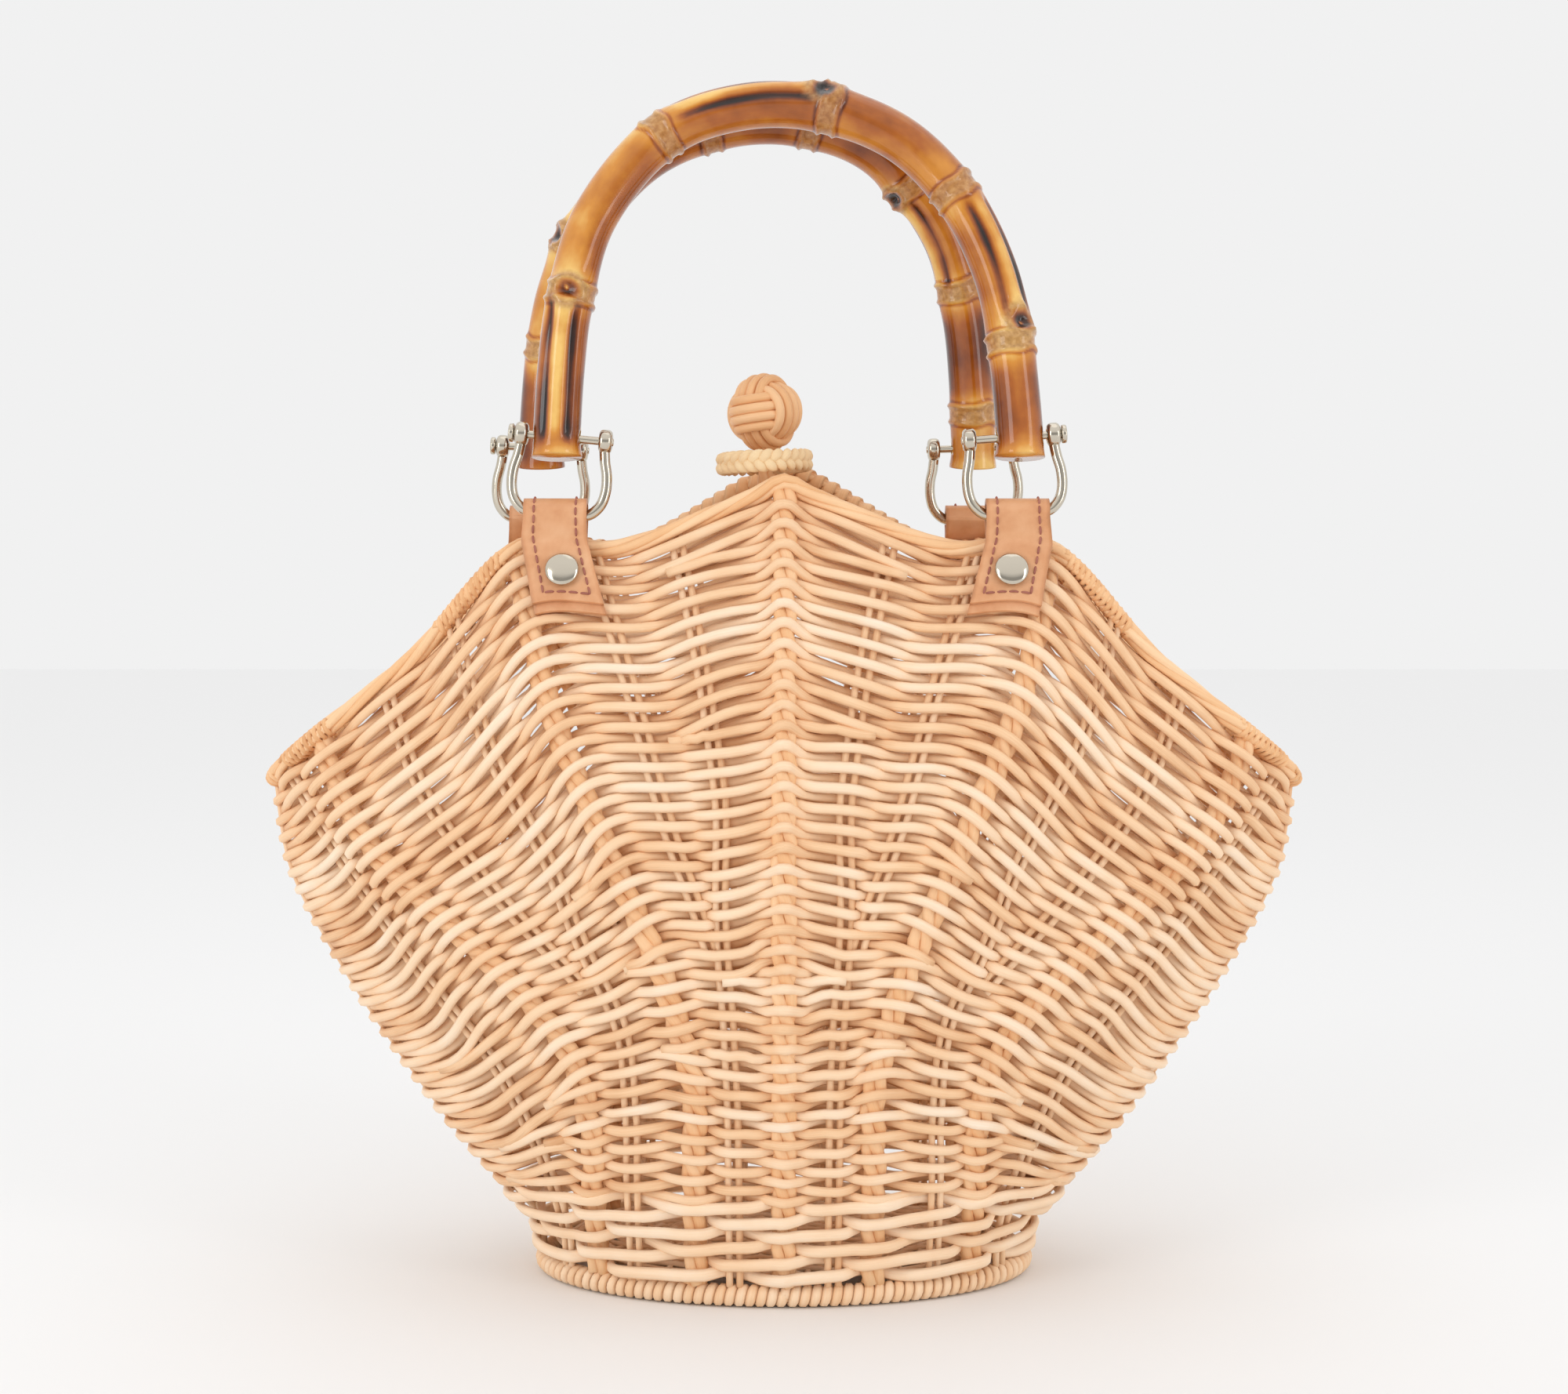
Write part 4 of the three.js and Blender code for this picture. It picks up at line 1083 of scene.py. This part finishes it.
def strap_middle(side, x):
    """The middle line of a folded strap at one place across it, from its front end to its back."""
    sign = -1 if side == "front" else 1
    fold = fold_axes[side]
    radius = FOLD_RADIUS + LEATHER / 2
    outer = [strap_point(side, x, drop, 1.5 * LEATHER)[0]
             for drop in np.linspace(TAB_LENGTH - UNDERLAYER_SHOW, 0.5, 7)]
    ring = [np.array([x, fold[1] + sign * radius * math.cos(angle),
                      fold[2] + radius * math.sin(angle)]) for angle in fold_angles]
    inner = [strap_point(side, x, drop, 0.5 * LEATHER)[0]
             for drop in np.linspace(0.5, TAB_LENGTH + 0.6, 7)]
    return smooth_curve(outer + ring + inner, LENGTH_STEPS)


def add_strap(name):
    """A strap as a bent grid with thickness and softened edges."""
    side = HANGINGS[name][0]
    xs = tab_places[name] + np.linspace(-0.5, 0.5, WIDTH_STEPS + 1) * (TAB_WIDTH - 0.2)
    lines = np.array([strap_middle(side, x) for x in xs])
    bpy.ops.mesh.primitive_grid_add(x_subdivisions=WIDTH_STEPS, y_subdivisions=LENGTH_STEPS,
                                    size=2)
    strap = bpy.context.object
    strap.name = "strap_" + name
    along = length_along(lines[WIDTH_STEPS // 2])
    spots = {}
    for vertex in strap.data.vertices:
        column = round((vertex.co.x + 1) / 2 * WIDTH_STEPS)
        row = round((vertex.co.y + 1) / 2 * LENGTH_STEPS)
        spots[vertex.index] = ((xs[column] - tab_places[name]) / 1000, along[row] / 1000)
        vertex.co = lines[column, row] / 1000
    layer = strap.data.uv_layers["UVMap"]
    for loop in strap.data.loops:
        layer.data[loop.index].uv = spots[loop.vertex_index]
    face_outward(strap)
    thick = strap.modifiers.new("thickness", "SOLIDIFY")
    thick.thickness = (LEATHER - 0.12) / 1000
    thick.offset = 0
    soft = strap.modifiers.new("burnished_edges", "BEVEL")
    soft.width = 0.00035
    soft.segments = 2
    soft.limit_method = "ANGLE"
    for modifier in ("thickness", "burnished_edges"):
        bpy.ops.object.modifier_apply(modifier=modifier)
    bpy.ops.object.shade_smooth_by_angle(angle=math.radians(40))
    strap.data.materials.clear()
    strap.data.materials.append(leather)
    return strap


def stitch(bundle, points, away):
    """One stitch: a thread that dips into the leather at both ends."""
    points = np.array(points)
    lift = np.array([-0.25, 0.28, 0.36, 0.28, -0.25])[:, None]
    bundle.strand(points + away * lift, away, 0.34, 0.3, random.uniform(0.3, 0.7))


STITCH_STEP = 3.1
STITCH_LENGTH = 2.3
SEAM_INSET = 3.3
END_SEAM_INSET = 2.4
SUNK_IN = 0.06
for name, (side, _, _, _) in HANGINGS.items():
    strap = add_strap(name)
    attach(strap, "basket")
    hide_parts("tab_" + name)
    stitches = Bundle()
    for edge_side in (-1, 1):
        x = tab_places[name] + edge_side * (TAB_WIDTH / 2 - SEAM_INSET)
        middle = strap_middle(side, x)[:STITCHED_STEPS]
        away = unit(np.cross(np.gradient(middle, axis=0), [-1 if side == "front" else 1, 0, 0]))
        face = middle + away * (LEATHER / 2 - SUNK_IN)
        reach = length_along(face)
        for start in np.arange(2.6, reach[-1] - STITCH_LENGTH, STITCH_STEP):
            steps = start + np.linspace(0, STITCH_LENGTH, 5)
            spots, outward = (np.stack([np.interp(steps, reach, row[:, axis])
                                        for axis in range(3)], -1) for row in (face, away))
            stitch(stitches, spots, outward)
    for start in np.arange(-TAB_WIDTH / 2 + 3.9, TAB_WIDTH / 2 - 5.2, STITCH_STEP):
        line = [strap_point(side, tab_places[name] + start + step,
                            TAB_LENGTH - UNDERLAYER_SHOW - END_SEAM_INSET, 2 * LEATHER - SUNK_IN)
                for step in np.linspace(0, STITCH_LENGTH, 5)]
        stitch(stitches, [spot[0] for spot in line], line[2][1])
    sewn = stitches.to_object("stitches_" + name, thread)
    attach(sewn, "basket")

# %% [markdown]
# ## Metal
#
# The rivets, shackles and pins are plated in pale gold and polished. Polished metal shows the
# room round it, dark behind the camera and bright at the soft boxes.

# %% Plated metal and turned pieces
def metal_material():
    """Pale gold plating, polished, with the faint haze of handling."""
    made, tree, surface = blank_material("pale_gold_plated_metal")
    haze = noise(tree, object_place(tree), 260.0, 3.0)
    tree.links.new(remap(tree, haze, 0.3, 0.75, 0.08, 0.2), surface.inputs["Roughness"])
    surface.inputs["Base Color"].default_value = linear("#CBC2B2")
    surface.inputs["Metallic"].default_value = 1.0
    return made


plating = metal_material()


def turned(name, profile, steps=40):
    """Spins a profile of (reach, rise) points, in millimetres, round the Z axis."""
    mesh = bpy.data.meshes.new(name)
    mesh.from_pydata([(reach / 1000, 0, rise / 1000) for reach, rise in profile],
                     [(i, i + 1) for i in range(len(profile) - 1)], [])
    made = bpy.data.objects.new(name, mesh)
    bpy.context.collection.objects.link(made)
    select_only(made)
    bpy.ops.object.mode_set(mode="EDIT")
    bpy.ops.mesh.select_all(action="SELECT")
    bpy.ops.mesh.spin(steps=steps, angle=2 * math.pi, center=(0, 0, 0), axis=(0, 0, 1))
    bpy.ops.mesh.select_all(action="SELECT")
    bpy.ops.mesh.remove_doubles(threshold=1e-6)
    bpy.ops.mesh.normals_make_consistent(inside=False)
    bpy.ops.object.mode_set(mode="OBJECT")
    bpy.ops.object.shade_smooth_by_angle(angle=math.radians(35))
    made.data.materials.append(plating)
    return made


def arc(middle, radius, first, last, count):
    """Points of an arc in a profile, angles in degrees from outward to up."""
    angles = np.radians(np.linspace(first, last, count))
    return [(middle[0] + radius * math.cos(a), middle[1] + radius * math.sin(a)) for a in angles]


# %% Rivets
RIVET_RADIUS = 5.0
RIVET_RISE = 1.9
RIVET_EDGE = 0.5
SHANK_RADIUS = 1.5
dome = [(RIVET_RADIUS * math.cos(a), RIVET_EDGE + (RIVET_RISE - RIVET_EDGE) * math.sin(a))
        for a in np.radians(np.linspace(8, 84, 12))]
rivet_profile = [(0, -2 * LEATHER), (SHANK_RADIUS, -2 * LEATHER), (SHANK_RADIUS, 0),
                 (RIVET_RADIUS - 0.3, 0), (RIVET_RADIUS, RIVET_EDGE / 2)] \
    + dome + [(0, RIVET_RISE)]
for name, (side, _, _, _) in HANGINGS.items():
    rivet = turned("rivet_head_" + name, rivet_profile)
    point, away = strap_point(side, tab_places[name], RIVET_DROP, 2 * LEATHER)
    # the head lies on the leather's highest place under it
    steps = (-RIVET_RADIUS, 0, RIVET_RADIUS)
    proud = max((strap_point(side, tab_places[name] + across, RIVET_DROP + down, 2 * LEATHER)[0]
                 - point) @ away for across in steps for down in steps)
    point = point + away * (proud + 0.1)
    rivet.data.transform(Vector(away).to_track_quat("Z", "Y").to_matrix().to_4x4())
    rivet.data.transform(Matrix.Translation(Vector(point / 1000)))
    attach(rivet, "basket")
    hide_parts("rivet_" + name)

# %% [markdown]
# A bow shackle is a rod bent to a loop with an eye at each end, and a pin through the eyes
# carries the handle. The rod follows a curve with small bends, which no single spin gives, so
# it is a tube built from arrays like the strands. The eyes and the pin are turned.

# %% Shackles and pins
WIRE_RADIUS = 1.6
EAR_HALF_SPACING = 12.6
BOW_HALF_WIDTH = 13.0
EAR_RADIUS = 3.6
EAR_HALF_THICKNESS = 2.0
EAR_ROUNDING = 1.4
PIN_RADIUS = 1.2
PIN_HEAD_RADIUS = 2.8
bow_side = [(-EAR_HALF_SPACING, BOW_REACH - EAR_RADIUS + 0.6), (-EAR_HALF_SPACING - 0.5, 16.5),
            (-BOW_HALF_WIDTH - 1, 12.5), (-BOW_HALF_WIDTH - 1.1, 8), (-BOW_HALF_WIDTH - 0.1, 4),
            (-BOW_HALF_WIDTH + 2.3, 1.1), (-BOW_HALF_WIDTH + 5, 0.1), (-4, 0)]
bow_path = smooth_curve([(x, 0, z) for x, z in bow_side + [(0, 0)]
                         + [(-x, z) for x, z in bow_side[::-1]]], 84)
bore = PIN_RADIUS + 0.25
round_middle = EAR_RADIUS - EAR_ROUNDING, EAR_HALF_THICKNESS - EAR_ROUNDING
eye_profile = [(bore, -EAR_HALF_THICKNESS + 0.2)] \
    + arc((round_middle[0], -round_middle[1]), EAR_ROUNDING, -90, 0, 6) \
    + arc(round_middle, EAR_ROUNDING, 0, 90, 6) \
    + [(bore, EAR_HALF_THICKNESS - 0.2), (bore, -EAR_HALF_THICKNESS + 0.2)]
ear_face = EAR_HALF_SPACING + EAR_HALF_THICKNESS
pin_profile = [(0, -ear_face - 0.4)] + arc((PIN_RADIUS - 0.4, -ear_face), 0.4, -90, 0, 4) \
    + [(PIN_RADIUS, ear_face + 0.2)] \
    + arc((PIN_HEAD_RADIUS - 0.5, ear_face + 0.8), 0.5, -90, 0, 4) \
    + arc((PIN_HEAD_RADIUS - 0.5, ear_face + 1.4), 0.5, 0, 90, 4) + [(0, ear_face + 1.9)]
along_x = Matrix.Rotation(math.pi / 2, 4, "Y")
for name, (side, leg, _, tilt) in HANGINGS.items():
    sign = -1 if side == "front" else 1
    fold = fold_axes[side]
    place = Matrix.Translation(Vector((tab_places[name], fold[1], fold[2])) / 1000) \
        @ Matrix.Rotation(sign * shackle_lean, 4, "X") \
        @ Matrix.Rotation(math.radians(tilt), 4, "Y")
    rod = Bundle()
    rod.strand(bow_path, (0, -1, 0), WIRE_RADIUS, WIRE_RADIUS, 0.5, sides=20)
    shackle = rod.to_object("bow_" + name, plating)
    eyes = [turned("eye", eye_profile) for _ in (-1, 1)]
    for eye, eye_side in zip(eyes, (-1, 1)):
        eye.data.transform(Matrix.Translation((eye_side * EAR_HALF_SPACING / 1000, 0,
                                               BOW_REACH / 1000)) @ along_x)
    select_only(shackle)
    for eye in eyes:
        eye.select_set(True)
    bpy.ops.object.join()
    shackle.data.transform(place)
    pin = turned("screw_pin_" + name, pin_profile)
    pin.data.transform(Matrix.Translation((0, 0, BOW_REACH / 1000)) @ along_x)
    if leg < 0:
        pin.data.transform(Matrix.Rotation(math.pi, 4, "Z"))
    pin.data.transform(place)
    for piece, node in ((shackle, "shackle_" + name), (pin, "pin_" + name)):
        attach(piece, side + "_shackles")
        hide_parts(node)

# %% [markdown]
# ## Bamboo handles
#
# Whole bamboo cane, bent over a flame and lacquered. The flame leaves it amber with scorched
# patches. Every node is a double ring with a rough band, and where a branch was cut there is a
# round scar, with a flat golden strip between two dark furrows along the cane beside it. The
# cane is a tube whose radius is worked out for each place along and round it.

# %% The line of a handle
BAMBOO_RADIUS = 7.0
HANDLE_RISE = 102.3
LEG_BELOW_PIN = 6.0
HANDLE_LEAN = 8.5
ARCH = [(-1, 0), (-0.985, 0.2), (-0.945, 0.42), (-0.84, 0.66), (-0.54, 0.905), (-0.2, 0.99),
        (0.14, 0.985), (0.48, 0.895), (0.735, 0.72), (0.9, 0.49), (0.965, 0.265), (1, 0)]


def cane_line(mirrored):
    """Middle line of a handle from the left leg to the right one, every half millimetre."""
    rows = [(-out, up) for out, up in ARCH[::-1]] if mirrored else ARCH
    arch = [(out * HANDLE_HALF_SPAN, 0, up * HANDLE_RISE) for out, up in rows]
    points = np.array([(-HANDLE_HALF_SPAN, 0, -LEG_BELOW_PIN), *arch,
                       (HANDLE_HALF_SPAN, 0, -LEG_BELOW_PIN)], float)
    points = np.vstack([2 * points[0] - points[1], points, 2 * points[-1] - points[-2]])
    knots = np.concatenate([[0], np.cumsum(np.linalg.norm(np.diff(points, axis=0), axis=1) ** 0.5)])
    line = []
    for i in range(1, len(points) - 2):
        t = np.linspace(knots[i], knots[i + 1], 120, endpoint=False)[:, None]

        def blend(a, b, low, high):
            """The straight blend from a at one knot to b at another."""
            return (a * (knots[high] - t) + b * (t - knots[low])) / (knots[high] - knots[low])

        first = [blend(points[k], points[k + 1], k, k + 1) for k in (i - 1, i, i + 1)]
        second = [blend(first[0], first[1], i - 1, i + 1), blend(first[1], first[2], i, i + 2)]
        line.append(blend(second[0], second[1], i, i + 1))
    line = np.vstack(line + [points[-2:-1]])
    reach = length_along(line)
    even = np.linspace(0, reach[-1], int(reach[-1] / 0.5) + 1)
    return np.stack([np.interp(even, reach, line[:, axis]) for axis in range(3)], -1), even


# %% Bamboo material
def bamboo_material():
    """Flame-bent lacquered bamboo: amber to nearly black under a clear, glossy coat."""
    made, tree, surface = blank_material("scorched_lacquered_bamboo")
    fibres = noise(tree, strand_place(tree, (60, 1500, 1)), 1.0, 4.0)
    clouds = noise(tree, object_place(tree), 75.0, 3.0)
    crust = noise(tree, object_place(tree), 650.0, 4.0)
    fine = calculate(tree, "MULTIPLY_ADD", fibres, 0.22, -0.11)
    cloudy = calculate(tree, "MULTIPLY_ADD", clouds, 0.55, -0.275)
    parts = calculate(tree, "ADD", fine, cloudy)
    depth = calculate(tree, "ADD", vertex_value(tree, "tone"), parts, clamp=True)
    cane = colour_ramp(tree, depth, [
        (0.0, "#F0C36E"), (0.2, "#D48C34"), (0.42, "#AA5C1C"), (0.62, "#753610"),
        (0.8, "#3F1C0B"), (1.0, "#140705")])
    rough_band = colour_ramp(tree, crust, [(0.3, "#8F5F38"), (0.5, "#AE7C4C"), (0.7, "#C79A68")])
    band = vertex_value(tree, "band")
    colour = add_node(tree, "ShaderNodeMix", {0: band, 6: cane, 7: rough_band}, data_type="RGBA")
    tree.links.new(colour.outputs[2], surface.inputs["Base Color"])
    raise_surface(tree, surface, calculate(tree, "MULTIPLY", crust, band), 0.6, 0.0006)
    surface.inputs["Roughness"].default_value = 0.22
    surface.inputs["Specular IOR Level"].default_value = 0.15
    surface.inputs["Coat Weight"].default_value = 0.8
    surface.inputs["Coat Roughness"].default_value = 0.03
    return made


bamboo = bamboo_material()

# %% Surface of a cane
CANE_SIDES = 44
RING_PLACE = 2.6
RING_WIDTH = 0.75
FURROW_PLACE = 3.7
FURROW_DEPTH = 1.0
FURROW_WIDTH = 1.2
SCAR_RISE = 1.8
SCAR_WIDTH = 5.6
SCAR_LIP = 4.4
SCAR_HEART = 2.6


def bell(distance, width):
    """A rounded peak of 1 where the distance is 0."""
    return np.exp(-(distance / width) ** 2)


def cane_surface(reach, angle, nodes, scars, scorched):
    """Radius, scorching with painted shade on the underside, and roughness at each place along and
    round a cane.
    """
    length = reach[-1]
    along = reach[:, None]
    ripple = sum(random.normal(0, 0.35) * np.sin(k * angle + random.uniform(0, 6))
                 for k in range(2, 7))
    radius = np.full((len(reach), CANE_SIDES), BAMBOO_RADIUS) + 0.12 * np.sin(along / 23 + 1)
    # painted shade: the last term makes the cane lighter on its upper front side and darker on its
    # underside and back
    scorch_and_shade = 0.5 + 0.1 * np.sin(along / 31 + 2.5) + 0.1 * np.sin(angle * 2 + along / 40 + 1) \
        - 0.12 * np.cos(angle - 1.2)
    for first, last, dark in scorched:
        scorch_and_shade += dark * smooth_step(along / length, first, first + 0.03) \
            * (1 - smooth_step(along / length, last - 0.03, last))
    rough = np.zeros_like(radius)
    for node in nodes:
        offset = along - node * length + 0.5 * ripple
        radius += 0.62 * bell(offset - RING_PLACE, RING_WIDTH) \
            + 0.75 * bell(offset + RING_PLACE, RING_WIDTH) + 0.28 * bell(offset, 5.5)
        scorch_and_shade += -0.22 * bell(offset, 10) + 0.3 * bell(np.abs(offset) - RING_PLACE - 1.3, 0.5)
        rough = np.maximum(rough, 0.75 * smooth_step(RING_PLACE + 1 - np.abs(offset), 0.0, 1.6))
    for share, degrees, end in scars:
        turn = (angle - math.radians(degrees) + math.pi) % (2 * math.pi) - math.pi
        aside = turn * BAMBOO_RADIUS
        offset = along - share * length
        low, high = sorted((share * length, end * length))
        inside = smooth_step(along, low + 2, low + 8) * (1 - smooth_step(along, high - 4, high + 3))
        for furrow in (-1, 1):
            gap = aside - furrow * FURROW_PLACE - 0.3 * np.sin(along / 9)
            radius -= FURROW_DEPTH * bell(gap, FURROW_WIDTH) * inside
            scorch_and_shade += 0.75 * bell(gap - furrow * 0.35, FURROW_WIDTH - 0.05) * inside \
                * (0.75 + 0.25 * np.sin(along / 5 + furrow))
        scorch_and_shade -= 0.3 * bell(aside, 2.2) * inside
        spot = np.hypot(offset, aside)
        radius += SCAR_RISE * bell(spot, SCAR_WIDTH) + 0.5 * bell(spot - SCAR_LIP + 0.3, 0.8) \
            - 3.0 * bell(spot, SCAR_HEART)
        scorch_and_shade += 1.1 * bell(spot, 3.0) - 0.4 * bell(spot - SCAR_LIP, 1.2) \
            - bell(np.hypot(offset - 0.8, aside + 0.3), 0.7)
        rough = np.maximum(rough * smooth_step(spot, SCAR_HEART, 4.0),
                           0.8 * bell(spot - SCAR_LIP, 1.3))
    for end in (along, length - along):
        radius += 0.45 * bell(end - 0.3 * ripple, 2.5)
        scorch_and_shade -= 0.3 * bell(end, 3.5)
    return radius, np.clip(scorch_and_shade, 0, 1), rough


# %% Canes
PIN_HOLE_RADIUS = 2.1
PIN_HOLE_LENGTH = 24


def drill_pin_holes(cane):
    """Cuts the holes for the pins in the legs of a cane that still stands at the origin."""
    for x in (-HANDLE_HALF_SPAN, HANDLE_HALF_SPAN):
        bpy.ops.mesh.primitive_cylinder_add(
            vertices=24, radius=PIN_HOLE_RADIUS / 1000, depth=PIN_HOLE_LENGTH / 1000,
            location=(x / 1000, 0, 0), rotation=(0, math.pi / 2, 0))
        drill = bpy.context.object
        hole = cane.modifiers.new("pin_hole", "BOOLEAN")
        hole.object = drill
        hole.operation = "DIFFERENCE"
        bpy.context.view_layer.objects.active = cane
        bpy.ops.object.modifier_apply(modifier="pin_hole")
        bpy.data.objects.remove(drill)


def add_cane(name, side, nodes, scars, scorched):
    """A handle. Nodes are shares of the length. Scars are (share of the length, angle from outer
    to viewer, share where the furrows end), and scorched lengths are (first share, last share,
    how dark)."""
    line, reach = cane_line(mirrored=side == "back")
    length = reach[-1]
    # stations stand 2 mm apart, and half a millimetre apart at the nodes and the ends
    near = np.min([np.abs(reach - node * length) for node in nodes], axis=0)
    keep = (np.arange(len(reach)) % 4 == 0) | (near < 7) | (reach < 3) | (reach > length - 3)
    line, reach = line[keep], reach[keep]
    angle = np.arange(CANE_SIDES) / CANE_SIDES * 2 * math.pi
    radius, scorch_and_shade, rough = cane_surface(reach, angle, nodes, scars, scorched)
    tangent = np.gradient(line, axis=0)
    outer = unit(np.cross(tangent, [0, 1, 0]))
    viewer = np.array([0, -1, 0])
    radial = outer[:, None] * np.cos(angle)[None, :, None] + viewer * np.sin(angle)[None, :, None]
    skin = line[:, None] + radial * radius[..., None]
    cane = Bundle()
    cane.strand(line, viewer, 1, 1, 0.5, sides=CANE_SIDES)
    cane.points[0] = skin[:, ::-1].reshape(-1, 3)
    cane.tones[0] = scorch_and_shade[:, ::-1].ravel()
    made = cane.to_object(name, bamboo)
    band = made.data.attributes.new("band", "FLOAT", "POINT")
    values = np.zeros(len(made.data.vertices), np.float32)
    values[:rough.size] = rough[:, ::-1].ravel()
    band.data.foreach_set("value", values)
    face_outward(made)
    drill_pin_holes(made)
    lean = math.radians(-HANDLE_LEAN if side == "front" else HANDLE_LEAN)
    pins = pin_axes[side] + [HANDLE_OFFSETS[side], 0, 0]
    made.data.transform(Matrix.Translation(Vector(pins) / 1000) @ Matrix.Rotation(lean, 4, "X"))
    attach(made, side + "_handle")
    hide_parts("handle_" + side)


add_cane("front_cane", "front", [0.17, 0.367, 0.55, 0.71, 0.882],
         [(0.17, 86, 0.0), (0.54, 52, 0.375), (0.862, 58, 0.715)],
         [(0.89, 1.05, 0.22), (0.385, 0.53, -0.1), (0.58, 0.7, -0.12)])
add_cane("back_cane", "back", [0.13, 0.248, 0.442, 0.553, 0.68, 0.805, 0.94],
         [(0.248, 20, 0.43), (0.68, 150, 0.8)],
         [(0.815, 0.935, 0.35), (-0.05, 0.12, 0.2)])
